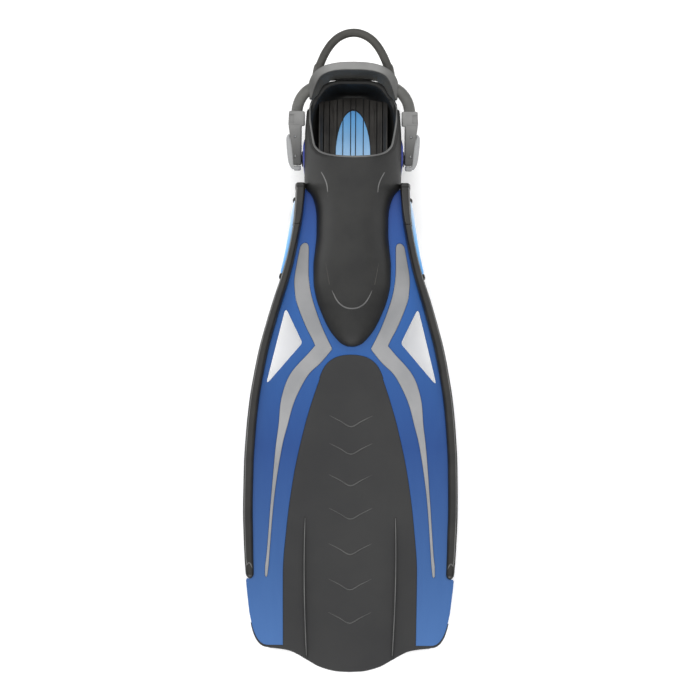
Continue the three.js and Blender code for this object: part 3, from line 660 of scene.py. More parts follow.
# %% [markdown]
# # The blade
# Seen from the side the blade climbs from its tip and levels out under the foot, so water leaves it
# cleanly. One formula for that height is shared by everything that lies on it.

# %% The blade's surface
BLADE_RISE = math.tan(math.radians(9))
BEND_START, BEND_END = 290, 500
CHANNEL_THICK, FRAME_THICK, INLAY_THICK = 2.6, 3.4, 4.2
SEAM = 0.05  # between materials that are moulded against each other


def blade_height(s):
    """The height of the middle of the blade's thickness."""
    past = min(max(s - BEND_START, 0), BEND_END - BEND_START)
    beyond = max(s - BEND_END, 0)
    return CHANNEL_THICK / 2 + BLADE_RISE * (s - past ** 2 / (2 * (BEND_END - BEND_START)) - beyond)


def on_blade(_, s):
    """The same height as a surface over the fin, for a slab."""
    return blade_height(s)


print("the blade climbs to", round(blade_height(BEND_END), 1), "mm under the foot")

# %% [markdown]
# A blade is drawn by its edges. Each one is a few stations from the tip to the foot: the outer edge, the
# rail's width, the foot pocket's half width over the blade and the centre panel's half width. The blade's
# corner and the panel's dome are plain curves with three and four handles.

# %% Edges of the blade
outer_edge = profile([
    (36, 100), (57, 102.8), (94, 106.9), (130, 109.3), (165, 110.4), (209, 109.8), (246, 107.6),
    (276, 104.5), (301, 100.4), (327, 95.2), (352, 88.5), (378, 80.8), (402, 72.8), (423, 67), (444, 62.8),
    (465, 59.8), (498, 58)])
rail_width = profile([(96, 8.6), (150, 10.2), (378, 10.2), (402, 9.2), (430, 8.4), (497, 9)])
cover_half = profile([
    (331, 3), (333.6, 8.8), (339.4, 14.9), (347, 20.9), (363, 29), (380, 35.2), (396, 38.1), (413, 38.4),
    (432, 36.6), (446, 35.5), (463, 35.5), (476, 37.2), (487, 41.4), (495, 48), (505, 48.6), (545, 48.5),
    (578, 46.6)])
channel_half = profile([(30, 68.4), (100, 68.9), (150, 65.2), (201, 58.3), (251, 47.3), (276, 40),
                        (298, 32.6)])
tip_edge = profile([(0, 0), (12, 0.6), (29, 4.6), (45, 13), (54, 18.2), (62, 21.6), (74, 23.6), (92, 25)])
CHANNEL_TOP = 322.9
TRIM = 2.2  # soft edge under the blade's corners
RAIL_START, SLEEVE_START, SLEEVE_END = 98.5, 454, 497


def rail_inner(s):
    """The rail's inner edge."""
    return outer_edge(s) - rail_width(s)


def corner_edge(inset):
    """The blade's end from the channel's edge round the corner to its side, moved in by inset."""
    low = tip_edge(92) + inset
    a, b = Vector((84, low)), Vector((97 - inset * 0.6, low))
    c = Vector((outer_edge(50) - inset * 0.42, 50))
    return [tuple(a * (1 - t) ** 2 + b * (2 * t * (1 - t)) + c * t * t) for t in spaced(0, 1, 16)]


def channel_edge(inset):
    """The centre panel's side and its domed top, right half."""
    side = [(channel_half(s) - inset, s) for s in spaced(30, 298, 68)]
    top = CHANNEL_TOP - inset
    a, b, c, d = (channel_half(298) - inset, 299.5), (28, 314.5), (19.5, top), (0, top)
    dome = []
    for t in spaced(0, 1, 25)[:-1]:
        weights = ((1 - t) ** 3, 3 * t * (1 - t) ** 2, 3 * t * t * (1 - t), t ** 3)
        dome.append(tuple(sum(w * p[k] for w, p in zip(weights, (a, b, c, d))) for k in (0, 1)))
    return side + dome


print("the blade is", round(2 * outer_edge(165), 1), "mm wide at its widest")

# %% [markdown]
# The grey inlay is a soft strip that lets the plastic flex. It starts wide beside the foot, pinches at the
# waist and runs out as a thin line toward the tip. The vent is the open triangle beside it that lets water
# through. Both are holes in the blue plastic.

# %% Inlay and vent outlines
def inlay_outline():
    """The inlay's outline: down its inner side, round its thin end, up its outer side and over the top."""
    inner = smooth([(44.6, 430), (44.6, 404), (42.6, 388), (38.6, 373), (31.4, 353), (25.2, 339.5),
                    (20.4, 330)], 5)
    inner_low = smooth([(20.2, 328), (31.2, 314.8), (45, 301), (57.9, 276), (65.1, 251), (71.2, 226),
                        (78.5, 176), (83.6, 110)], 6)
    end = smooth([(84.8, 98.4), (85.6, 97), (86.6, 96.9), (87.3, 98.4)], 2)
    outer_low = smooth([(87.2, 108), (85.3, 125), (81.6, 176), (77.4, 226), (74.3, 251), (71.6, 278),
                        (62.8, 302.5), (44.8, 323.2)], 6)
    outer = smooth([(37.4, 331.8), (40.4, 338.6), (47.6, 352.5), (56.4, 375), (58.9, 390), (58.8, 404),
                    (54.2, 430)], 5)
    top = smooth([(53.4, 433.4), (51.2, 436), (48.6, 437), (46, 436), (44.8, 433.4)], 3)
    return [*inner, *inner_low, *end, *outer_low, *outer, *top]


vent_outline = rounded([(68, 371, 2.2), (50.4, 334.6, 5), (87.8, 291.4, 1.8)], 8)
print("inlay outline:", len(inlay_outline()), "points")

# %% [markdown]
# The blue frame is one plate with rounded edges. Its outer edge hides under the rails and its upper edge
# under the foot pocket, as the rubber is moulded over it.

# %% Blue frame
TUCK = 1.0  # how far the plastic runs in under the rubber


def frame_outline():
    """The plate's outline: down beside the panel, round the corner, up under the rail and the pocket."""
    corner = corner_edge(TRIM + SEAM)
    side = [(outer_edge(s), s) for s in spaced(60, RAIL_START - 5.4, 6)]
    notch_s = RAIL_START - 3.4
    notch = [(outer_edge(RAIL_START) - 1.4, notch_s), (rail_inner(RAIL_START) + 3, notch_s)]
    along = [(rail_inner(s) + TUCK, s) for s in spaced(RAIL_START + 2, 494, 80)]
    pocket = [(max(cover_half(s) - TUCK, 1), s) for s in spaced(492, 331.5, 44)]
    panel = list(reversed(channel_edge(-SEAM)))
    half = [(0, CHANNEL_TOP + SEAM), *panel, (channel_half(30) + SEAM, tip_edge(92) + TRIM + SEAM)]
    half += [*corner, *side, *notch, *along, *pocket, (0, 331)]
    return half + mirrored(half)


openings = [vent_outline, offset(inlay_outline(), -SEAM)]
openings += [mirrored(hole) for hole in openings]
frame_shape = slab(frame_outline(), FRAME_THICK, 0.45, openings, 4.0, on_blade)
piece("blade_frame_skin", frame_shape, "fin", "blue_frame", blade_blue, ["blade_frame"])

# %% [markdown]
# The centre panel is soft rubber, so the blade cups like a scoop in the stroke. Its free end is a broad
# lobe, and a thin rubber lip carries on round the blade's two corners. All of that is one outline, drawn
# for the right half and mirrored.

# %% Centre panel
def channel_outline():
    """The panel's outline with the lip round the blade's corners."""
    lobe = [(x, tip_edge(x)) for x in spaced(0, 84, 43)[1:-1]]
    back_corner = list(reversed(corner_edge(TRIM)))
    half = [(0, 0), *lobe, *corner_edge(0), *back_corner, (channel_half(30), tip_edge(92) + TRIM)]
    half += [*channel_edge(0)[1:], (0, CHANNEL_TOP)]
    return half + mirrored(half)


channel_shape = slab(channel_outline(), CHANNEL_THICK, 0.35, (), 4.0, on_blade)
piece("blade_channel_skin", channel_shape, "fin", "black_rubber", channel_rubber, ["blade_channel"])

# %% [markdown]
# Two tall ribs stand on the panel near its free end and steer the water along it. Each bends a little
# outward in its middle. A rib is thin, so its section is a ring of twelve points with a wide foot, and a
# fine bead of pale rubber along its crest is a painted highlight.

# %% Panel ribs
RIB_X, RIB_BEND = 42.6, 4.4
rib_crest = profile([(14, 1.2), (30, 5), (80, 6.4), (125, 4.4), (160, 0.3)])
rib_foot = profile([(14, 2.4), (40, 2.2), (120, 1.5), (160, 0.5)])


def rib_top(s):
    """A point on the rib's crest."""
    x = RIB_X + RIB_BEND * math.sin((s + 10) / 250 * math.pi)
    return (x, s, blade_height(s) + CHANNEL_THICK / 2 + rib_crest(s))


def rib_ring(s):
    """A thin fin of a rib: a wide foot, hollow sides and a rounded crest."""
    x, _, high = rib_top(s)
    low, foot = blade_height(s), rib_foot(s)
    skin = low + CHANNEL_THICK / 2
    half = [(foot, low), (foot, skin + 0.1), (foot * 0.55, skin + 0.6), (0.9, high - 0.9),
            (0.75, high - 0.3), (0.4, high)]
    half = [(dx, min(z, high) if dx < 1 else z) for dx, z in half]
    return [(x + dx, s, z) for dx, z in half] + [(x - dx, s, z) for dx, z in reversed(half)]


rib_shape = loft([rib_ring(s) for s in spaced(15, 158, 60)])
pair("channel_rib", rib_shape, "fin", "black_rubber", channel_rubber, False)
edge_width = profile([(0, 0.2), (0.1, 0.5), (0.9, 0.5), (1, 0.2)])
rib_edge = tube([rib_top(s) for s in spaced(17, 157, 40)], edge_width, 10)
pair("rib_edge", rib_edge, "fin", "black_rubber", highlight_rubber, False)

# %% [markdown]
# Each inlay fills its hole in the blue plate and stands a little over it, as a soft rubber does when it is
# moulded second. It is the same outline as the hole, made into a slab that follows the blade.

# %% Inlays
inlay_proud = (INLAY_THICK - FRAME_THICK) / 2
inlay_shape = slab(inlay_outline(), INLAY_THICK, 0.6, (), 3.0, lambda a, b: blade_height(b) + inlay_proud)
pair("blade_inlay", inlay_shape, "fin", "grey_rubber", inlay_rubber)

# %% [markdown]
# Low chevrons stand along the panel and stiffen it a little. Each is a rod half sunk in the panel, bent to
# a soft V and thinned to nothing at its ends. The loop makes all seven, and they are kept as one piece.

# %% Flow chevrons
CHEVRONS = [250, 222, 190, 156, 120, 84, 50]
CHEVRON_HALF, CHEVRON_RISE = 22, 11


def chevron_shape(s):
    """A low rounded V across the panel that points to the tip."""
    reach = min(CHEVRON_HALF, channel_half(s) * 0.5)
    corners = [(reach * share, s + CHEVRON_RISE * abs(share)) for share in (-1, -0.5, 0, 0.5, 1)]
    width = profile([(0, 0.2), (0.2, 0.6), (0.5, 0.75), (0.8, 0.6), (1, 0.2)])
    line = [(x, y, blade_height(y) + CHANNEL_THICK / 2 - 0.1) for x, y in smooth(corners, 6)]
    return tube(line, width, 12)


chevrons = together(*[chevron_shape(s) for s in CHEVRONS])
piece("channel_chevrons", chevrons, "fin", "black_rubber", pale_chevron_rubber)

# %% [markdown]
# # The rails
# A soft rail runs down each side of the blade, like a low wall that keeps the water on it. Its section is a
# rounded bar that grows taller toward the foot. One ring of points gives the section at any place along the
# fin, with a shallow groove and a low crest beside it in the upper outer side.

# %% Rail section
rail_above = profile([(96, 5), (180, 6), (300, 9), (400, 14), (470, 17), (497, 17)])
rail_below = profile([(96, 3.6), (180, 5), (300, 8), (400, 12), (470, 15), (497, 15)])
rail_lean = profile([(96, 0), (440, 0.2), (476, 1.4), (497, 1.8)])
RAIL_SIDES = 96
GROOVE_TURN, GROOVE_WIDTH, GROOVE_DEPTH = 0.86, 0.16, 1.3  # turn and width in radians round the section
CREST_TURN, CREST_HEIGHT = GROOVE_TURN + 0.34, 0.45


def signed_power(value, power):
    """A power that keeps the sign, which turns a circle's sine and cosine into a squarer arch."""
    return math.copysign(abs(value) ** power, value)


def rail_ring(s, grow=0.0, shrink=1.0, groove=1.0):
    """The rail's section: grow stands it proud in mm, shrink and groove are shares from 0 to 1."""
    outer, inner = outer_edge(s) + grow, rail_inner(s)
    middle, half = (outer + inner) / 2, (outer - inner) / 2 * shrink
    ring = []
    for t in [2 * math.pi * k / RAIL_SIDES for k in range(RAIL_SIDES)]:
        c, d = math.cos(t), math.sin(t)
        dip = groove * (GROOVE_DEPTH * math.exp(-((t - GROOVE_TURN) / GROOVE_WIDTH) ** 2)
                        - CREST_HEIGHT * math.exp(-((t - CREST_TURN) / GROOVE_WIDTH) ** 2))
        height = (rail_above(s) if d > 0 else rail_below(s)) * (0.4 + 0.6 * shrink)
        up = signed_power(d, 0.75) * height + d * (grow - dip)
        lean = rail_lean(s) * up / rail_above(s) if c < 0 < up else 0.0
        ring.append((middle + signed_power(c, 0.55) * half - c * dip - lean, s, blade_height(s) + up))
    return ring


tall = [z for _, _, z in rail_ring(400)]
print("the rail is", round(max(tall) - min(tall), 1), "mm tall beside the pocket's toe")

# %% [markdown]
# The rail itself is a loft through many of these rings. Its free end is a blunt nose, where the rings
# shrink along a quarter circle, and the groove fades in behind it.

# %% Side rails
def rail_shape():
    nose = [rail_ring(RAIL_START - 3.5 + 5.5 * (1 - math.cos(a)), 0, max(math.sin(a), 0.12), 0)
            for a in spaced(0.05, math.pi / 2, 10)]
    body = [rail_ring(s, groove=min(max((s - 106) / 4, 0), 1))
            for s in spaced(RAIL_START + 3.4, SLEEVE_START - 0.4, 130)]
    return loft(nose + body)


pair("side_rail", rail_shape(), "fin", "rail_rubber", rail_rubber)

# %% [markdown]
# A pale line runs along the rail's top and turns down over its nose: a painted highlight. A groove alone
# would show it only where a lamp happens to stand, so the line is a thin bead of paler rubber that takes
# one point of each ring as its route.

# %% Rail line
LINE_POINT = 18  # counted round the section from its outer side
nose_turn = [rail_ring(RAIL_START + 12.5 - 0.7 * abs(k - 24), 0, 1, 0)[k]
             for k in range(32, LINE_POINT, -2)]
along_rail = [rail_ring(s, 0.5 if s > SLEEVE_START else 0, 1, 0)[LINE_POINT] for s in spaced(114, 491, 90)]
line_radius = profile([(0, 0.2), (0.03, 0.6), (0.98, 0.6), (1, 0.3)])
rail_line = tube(nose_turn + along_rail, line_radius, 10)
pair("rail_line", rail_line, "fin", "rail_rubber", highlight_rubber, False)

# %% [markdown]
# Beside the foot the rail ends in a slightly larger sleeve with a turned lip. A pale strip on its outer
# face bridges the joint, between two small end bulges.

# %% Sleeves and windows
def sleeve_shape():
    """The rail's upper end: a little proud of the rail, with a lip before it stops."""
    start = [rail_ring(SLEEVE_START + d, g, 1, 0.5) for d, g in ((0, 0.0), (0.2, 0.35), (0.6, 0.5))]
    body = [rail_ring(s, 0.5, 1, 0.5) for s in spaced(SLEEVE_START + 2, SLEEVE_END - 5.4, 24)]
    lip = [rail_ring(SLEEVE_END - d, g, k, 0) for d, g, k in
           ((4.6, 0.7, 1), (4.1, 1.05, 1), (3.4, 1.2, 1), (1.0, 1.2, 1), (0.4, 0.9, 0.99), (0, 0.2, 0.93))]
    return loft(start + body + lip)


WINDOW = (403, 482)
window_proud = profile([(WINDOW[0], 0.6), (WINDOW[0] + 7, 2.3), (WINDOW[1] - 20, 3.4), (WINDOW[1], 1.0)])


def window_ring(s, low, high, out):
    """A pillow-shaped strip on the rail's outer wall."""
    x, z = outer_edge(s), blade_height(s) - 1
    turns = spaced(-math.pi / 2, math.pi / 2, 21)
    middle, half = (low + high) / 2, (high - low) / 2
    ring = [(x + 0.4 + out * abs(math.cos(t)) ** 0.6, s, z + middle + half * signed_power(math.sin(t), 0.8))
            for t in turns]
    return ring + [(x - 0.6, s, z + high), (x - 0.6, s, z + low)]


def bulge_shape(s, length, out):
    """A small round bulge on the rail's outer wall, at one end of the strip."""
    return loft([window_ring(s + length * math.sin(a), -6 * math.cos(a), 6 * math.cos(a), out * math.cos(a))
                 for a in spaced(-1.45, 1.45, 15)])


def window_shape():
    """The pale strip over the whole length of the window."""
    stations = spaced(WINDOW[0] + 0.6, WINDOW[1] - 0.6, 48)
    return loft([window_ring(s, -5.6, 5.4, window_proud(s)) for s in stations])


pair("rail_sleeve", sleeve_shape(), "fin", "rail_rubber", rail_rubber)
pair("rail_window", window_shape(), "fin", "pale_blue", window_blue)
ends = together(bulge_shape(WINDOW[0] + 0.5, 3.6, 2.2), bulge_shape(WINDOW[1] - 0.5, 3.2, 2.6))
pair("window_end", ends, "fin", "rail_rubber", rail_rubber, False)

# %% [markdown]
# # The foot pocket
# The pocket is one hollow rubber moulding: a vault over the instep, a bowl under the sole and a big opening
# behind. Drawing such a skin face by face is slow. It is built here as the mould maker would: two full
# bodies joined, the room for the foot taken out and the opening sliced off. Remeshing into small even
# squares then melts the joints together and leaves every edge softly rounded, as in real rubber.

# %% Sections of the pocket
HEEL_S = 612
SOLE_SLOPE = math.tan(math.radians(8))
SOLE_LIFT, FLOOR_THICK, WALL, SHELL_DROP = 1.8, 9, 3.6, 3.1
toe_lift = profile([(334, 15), (338, 8.5), (346, 3.4), (358, 0.8), (376, 0)])
cover_top = profile([(329.5, 55.6), (334.5, 61.5), (347, 68.5), (363, 75), (380, 80), (400, 84.4),
                     (430, 89.4), (460, 92.4), (490, 94.6), (520, 96), (545, 96.4), (578, 97)])
shell_half = profile([
    (334, 13), (337, 20), (343, 27.5), (356, 36), (376, 41), (400, 44), (430, 45.2), (470, 46), (497, 47.4),
    (512, 48.5), (545, 48.6), (570, 47.4), (588, 44.4), (598, 38.8), (605, 33.6), (607.6, 30.5),
    (610.2, 25), (612, 15)])
VAULT, BOWL = 0.87, 0.6  # below 1 an arch grows squarer shoulders
SWELL = 1.5  # drawn on each side before the skin is relaxed, which draws it in again


def sole_bottom(s):
    """The underside of the sole along the middle line."""
    return SOLE_LIFT + SOLE_SLOPE * (HEEL_S - s) + toe_lift(s)


def floor_height(s):
    """The floor under the foot along the middle line."""
    return sole_bottom(s) + FLOOR_THICK


def cover_ring(s, inset, base):
    """The vault's section over the blade, drawn in by inset and carried on below the blade by base."""
    half, foot = cover_half(s) + SWELL - inset, blade_height(s)
    rise = cover_top(s) - inset - foot
    arch = [(half * signed_power(math.cos(t), VAULT), s, foot + rise * math.sin(t) ** VAULT)
            for t in spaced(0, math.pi, 61)]
    tuck = half * 0.96
    return arch + [(-tuck, s, foot - base), (tuck, s, foot - base)]


def shell_ring(s, half, top, bottom):
    """The bowl's section, a squarish half round that hangs from top down to bottom."""
    turns = spaced(math.pi, 2 * math.pi, 61)
    drop = top - bottom
    return [(half * signed_power(math.cos(t), BOWL), s, top + drop * signed_power(math.sin(t), BOWL))
            for t in turns]


print("the heel's floor is", round(floor_height(600), 1), "mm over the ground")

# %% [markdown]
# Blender's modifiers do the mould maker's work: a Boolean joins or cuts, a voxel Remesh makes the squares
# and a Smooth relaxes them. Each result is turned into the mesh at once, so that no modifier is left on a
# piece and the next step starts from a plain mesh.

# %% Joining and cutting
def boolean(body, tool, operation):
    """Joins a tool shape to a mesh object, or cuts it away."""
    other = bpy.data.objects.new("tool", mesh_of("tool", tool))
    scene.collection.objects.link(other)
    step = body.modifiers.new("step", "BOOLEAN")
    step.operation, step.object, step.solver = operation, other, "MANIFOLD"
    settle(body)
    bpy.data.objects.remove(other)


def settle(body):
    """Turns what the modifiers show into the mesh itself."""
    graph = bpy.context.evaluated_depsgraph_get()
    mesh = bpy.data.meshes.new_from_object(body.evaluated_get(graph))
    body.modifiers.clear()
    body.data = mesh


def melted(body, voxel, rounds):
    """Remeshes a rubber body into small squares and relaxes them."""
    remesh = body.modifiers.new("melt", "REMESH")
    remesh.mode, remesh.voxel_size, remesh.use_smooth_shade = "VOXEL", voxel * MM, True
    relax = body.modifiers.new("relax", "SMOOTH")
    relax.factor, relax.iterations = 0.5, rounds
    settle(body)


def draft(name, shape):
    """A body that is still being worked on."""
    body = bpy.data.objects.new(name, mesh_of(name, shape))
    scene.collection.objects.link(body)
    return body


def finished(body, name, *rest):
    """The mesh of a draft, as a piece."""
    mesh = body.data
    bpy.data.objects.remove(body)
    return piece(name, mesh, *rest)


print("helpers for rubber bodies:", boolean.__name__, melted.__name__, finished.__name__)

# %% [markdown]
# The rim of the opening is a curve in the side view: high over the instep, sweeping down beside the ankle
# and low round the heel. Everything above it is sliced off in one cut. A low wide tread under the heel
# stands on the ground.

# %% Pocket body
rim_height = profile([(519, 96.2), (520.5, 94.5), (523.3, 91), (528, 86.6), (536, 82.2), (546, 79.2),
                      (558, 75.6), (573, 68.5), (583, 62), (592, 57), (602, 56), (616, 56)])


def bowl_half(s):
    """The half width of the room inside the bowl."""
    return shell_half(min(s + 4, HEEL_S)) - WALL - 1


def bowl_top(s):
    """The height from which the room inside the bowl hangs."""
    return blade_height(s) - SHELL_DROP - WALL


def pocket_body():
    """The whole rubber moulding: vault and bowl joined, the foot's room and the opening cut away."""
    near = [331, 331.6, 332.4, 333.4, 334.8, 336.6, 339, 342, 346]
    body = draft("pocket", loft([cover_ring(s, 0, 5) for s in near + spaced(350, 578, 77)]))
    low = [334, 335, 336.5, 338.5, 341, 344.5, 348] + spaced(353, 590, 60)
    low += [593, 596, 599, 602, 604.5, 607, 609, 610.6, 612]
    bowl = [shell_ring(s, shell_half(s), blade_height(s) - SHELL_DROP, sole_bottom(s)) for s in low]
    boolean(body, loft(bowl), "UNION")
    room = loft([cover_ring(s, WALL, 8) for s in spaced(346, 592, 60)])
    boolean(body, room, "DIFFERENCE")
    deep = [343, 345.5, 348, 352] + spaced(357, 600, 50) + [602.5, 605, 606.5, 607.5]
    hollow = [shell_ring(s, bowl_half(s), bowl_top(s), floor_height(s)) for s in deep]
    boolean(body, loft(hollow), "DIFFERENCE")
    line = [(516, 99.6)] + [(s, rim_height(s)) for s in spaced(519, 616, 70)]
    line += [(640, 56), (640, 140), (516, 140)]
    boolean(body, loft([[(x, s, z) for s, z in line] for x in (-70, 70)]), "DIFFERENCE")
    land = [(584, 0), (605, 0), (605, 4), (584, 8)]
    boolean(body, loft([[(x, s, z) for s, z in land] for x in (-24, 24)]), "UNION")
    melted(body, 1.15, 6)
    return body


finished(pocket_body(), "foot_pocket_skin", "fin", "black_rubber", pocket_rubber, ["foot_pocket"])

# %% [markdown]
# A bead runs round the opening so that the rubber doesn't tear. It is a rod sunk into the cut edge, thin at
# both ends where it fades out toward the heel. Its route comes from the same formulas as the skin: at each
# place it stands in the middle of the wall, which a search by halves finds across the front.

# %% Rim bead
def wall_half(s, z, inset):
    """How far out the pocket's wall is at a height, inset under its outer skin."""
    foot = blade_height(s)
    if z > foot:
        share = min((z - foot) / (cover_top(s) - inset - foot), 1)
        return (cover_half(s) - inset) * (1 - share ** (2 / VAULT)) ** (VAULT / 2)
    top = foot - SHELL_DROP
    share = min(max((top - z) / (top - sole_bottom(s)), 0), 1)
    return (shell_half(s) - inset) * (1 - share ** (2 / BOWL)) ** (BOWL / 2)


def rim_station(x):
    """Where along the fin the rim stands at a distance x from the middle line."""
    low, high = 513.0, 562.0
    for _ in range(40):
        s = (low + high) / 2
        low, high = (low, s) if wall_half(s, rim_height(s), WALL / 2) > x else (s, high)
    return low


def rim_route():
    """The bead's route, from the left side of the heel round the front to the right side."""
    front = [(x, rim_station(max(x, 0.5))) for x in (0, 4, 8, 12, 16, 20, 24, 28, 32, 35, 38, 40.5)]
    side = [(wall_half(s, rim_height(s), WALL / 2), s) for s in (560, 567, 574, 580, 585, 590)]
    half = [(x, s, rim_height(s)) for x, s in front + side]
    return smooth([(-x, s, z) for x, s, z in reversed(half[1:])] + half, 4)


rim_width = profile([(0, 0.3), (0.16, 1.0), (0.3, 1.25), (0.7, 1.25), (0.84, 1.0), (1, 0.3)])
# the bead's pale rubber is a painted highlight along the rim
piece("pocket_rim", tube(rim_route(), rim_width, 16), "fin", "black_rubber", highlight_rubber)

# %% [markdown]
# A thin raised line frames the instep: straight down both sides and round over the toe. It is laid on the
# vault in plan and lifted to the vault's height. On the toe and the ends it is a pale rubber that paints a
# highlight, and on the sides a darker one, so the line is made in two finishes.

# %% Instep line
instep_line = [(33.4, 508.2), (30.4, 502.6), (27.6, 496.6), (25.7, 489.5), (25.1, 481.7), (27.2, 466.8),
               (28.9, 450.6), (29.2, 435.8), (26.7, 413.8), (22.9, 391.8), (15.8, 376.4), (8.6, 369.4),
               (0, 367.3)]


def on_cover(x, s):
    """The height of the vault over a place in plan."""
    foot = blade_height(s)
    share = min(abs(x) / cover_half(s), 1)
    return foot + (cover_top(s) - foot) * max(1 - share ** (2 / VAULT), 0) ** (VAULT / 2)


def lies_on_cover(points):
    """A smooth line through places in plan, sunk a quarter of a millimetre into the vault."""
    return [(x, s, on_cover(x, s) - 0.25) for x, s in smooth(points, 6)]


toe_arc = instep_line[9:] + [(-x, s) for x, s in reversed(instep_line[9:-1])]
line_width = profile([(0, 0.2), (0.2, 0.8), (0.8, 0.8), (1, 0.2)])
lit = together(tube(lies_on_cover(toe_arc), line_width, 12),
               *[tube([(side * x, s, z) for x, s, z in lies_on_cover(instep_line[:5])], line_width, 12)
                 for side in (-1, 1)])
piece("instep_line", lit, "fin", "black_rubber", highlight_rubber)
side_line = tube(lies_on_cover(instep_line[4:10]), 0.7, 12)
pair("instep_side_line", side_line, "fin", "black_rubber", footbed_rubber, False)

# %% [markdown]
# # The footbed
# The foot stands on a floor of long grip ribs. A pale blue insert is let into the floor, and its own strips
# carry the ribs on, with dark grooves between them. Every rib and strip is a slab between two distances
# across, so a list of such pairs draws the whole floor.

# %% Footbed ribs and insert
INSERT_FROM, INSERT_TO, INSERT_HALF, INSERT_ROUND = 436, 590, 18.5, 56
GRIP_END = 604


def insert_reach(x):
    """How far from the insert's ends its outline stands at a distance x from the middle."""
    return INSERT_ROUND * (1 - math.sqrt(max(1 - (x / INSERT_HALF) ** 2, 0)))


def strip(low, high, count=9):
    """A strip of the insert between two distances across, with the insert's rounded ends."""
    across = spaced(low, high, count)
    reach = [insert_reach(max(abs(x) - 0.3, 0)) for x in across]
    heel = [(x, INSERT_TO - 0.5 - r) for x, r in zip(across, reach)]
    toe = [(x, INSERT_FROM + 0.5 + r) for x, r in zip(across, reach)]
    return heel + list(reversed(toe))


def bowl_floor(x, s):
    """The height of the floor inside the pocket, which rises a little toward the walls."""
    top = bowl_top(s)
    share = min(abs(x) / bowl_half(s), 0.98)
    return top - (top - floor_height(s)) * (1 - share ** (2 / BOWL)) ** (BOWL / 2)


def floor_slab(outline, height, lift):
    """A soft-edged strip whose top stands lift over the floor."""
    return slab(outline, height, 0.4, (), 4.0, lambda a, b: bowl_floor(a, b) + lift - height / 2)


splits = [(-18.2, -11.3), (-10.4, -3.1), (-2.2, 2.2), (3.1, 10.4), (11.3, 18.2)]
insert_shape = together(*[floor_slab(strip(*split), 2.2, 0.7) for split in splits])
piece("footbed_insert_strips", insert_shape, "fin", "pale_blue", insert_blue, ["footbed_insert"])


def grip(low, high):
    """A grip rib from the heel to the insert, or past it where the rib lies beside it."""
    across = spaced(low, high, 5)
    nearest = min(abs(low), abs(high))
    if nearest < INSERT_HALF:
        ends = [(x, INSERT_TO + 1.2 - insert_reach(min(abs(x), INSERT_HALF))) for x in across]
    else:
        ends = [(x, 425) for x in across]
    heel = [(x, GRIP_END - 0.009 * x * x) for x in reversed(across)]
    return ends + heel


bands = [(-2.2, 2.2), (3.1, 10.4), (11.3, 16.6), (17.5, 24.6), (25.5, 30.6), (31.5, 36)]
bands += [(-high, -low) for low, high in bands[1:]]
grips = together(*[floor_slab(grip(*band), 2.6, 1.1) for band in bands])
piece("footbed_grips", grips, "fin", "black_rubber", footbed_rubber)

# %% [markdown]
# # The heel strap
# The pad behind the heel is a curved rubber block with a flat top face that leans back a little. A ring of
# points swept round the heel gives it, with its thickness, foot and top as curves of how far round it is.
# The finger loop is a cord whose ends thicken and run into the pad. It is its own piece, because its
# rubber is darker, and both are remeshed for soft edges.

# %% Heel pad and finger loop
TILT = math.radians(14)
PIVOT_X, PIVOT_S, PIVOT_Z = 52, 528.4, 50
CORD_X, CORD_R, LOOP_R = 6.6, 5.8, 4.4
pad_line = [(0, 618.6), (14, 618.2), (27, 616), (37, 610.6), (42.4, 601.5), (44.4, 588)]
pad_thick = profile([(0, 7.4), (0.55, 7.8), (0.72, 8.4), (0.84, 6.6), (1, 2.4)])
pad_low = profile([(0, 45), (0.28, 45.6), (0.34, 49), (0.42, 58.4), (0.83, 59), (0.9, 60), (1, 63)])
pad_high = profile([(0, 85), (0.45, 84), (0.7, 79), (0.88, 73), (1, 69)])
PAD_LEAN, PAD_FLARE = 0.08, 2.4  # its top leans back, and is thicker than its foot
pad_cup = profile([(0.32, 0), (0.45, 3.8), (0.85, 4.6), (1, 1)])  # its sides reach in over the pocket's wall


def pad_shape():
    """The pad, swept from its left end round the heel to its right end."""
    full = [(-x, s) for x, s in reversed(pad_line[1:])] + pad_line
    line = smooth(full, 24)
    lengths = [0.0]
    for a, b in zip(line, line[1:]):
        lengths.append(lengths[-1] + math.dist(a, b))
    rings = []
    for i, (x, s) in enumerate(line):
        share = abs(2 * lengths[i] / lengths[-1] - 1)
        before, after = Vector(line[max(i - 1, 0)]), Vector(line[min(i + 1, len(line) - 1)])
        along = (after - before).normalized()
        out = Vector((-along.y, along.x))
        half, low, high = pad_thick(share) / 2, pad_low(share), pad_high(share)
        ring = []
        for t in [2 * math.pi * k / 56 for k in range(56)]:
            z = (low + high) / 2 + signed_power(math.sin(t), 0.2) * (high - low) / 2
            rise = (z - (low + high) / 2) / (high - low) * 2
            lean = (z - (low + high) / 2) * PAD_LEAN * (1 - share * 0.7)
            shift = signed_power(math.cos(t), 0.24) * half + lean
            if math.cos(t) < 0:
                shift -= PAD_FLARE * max(rise, 0) * (1 - share) + pad_cup(share) * max(0.4 - rise, 0) / 1.4
            ring.append((x + out.x * shift, s + out.y * shift, z))
        rings.append(ring)
    return loft(rings)


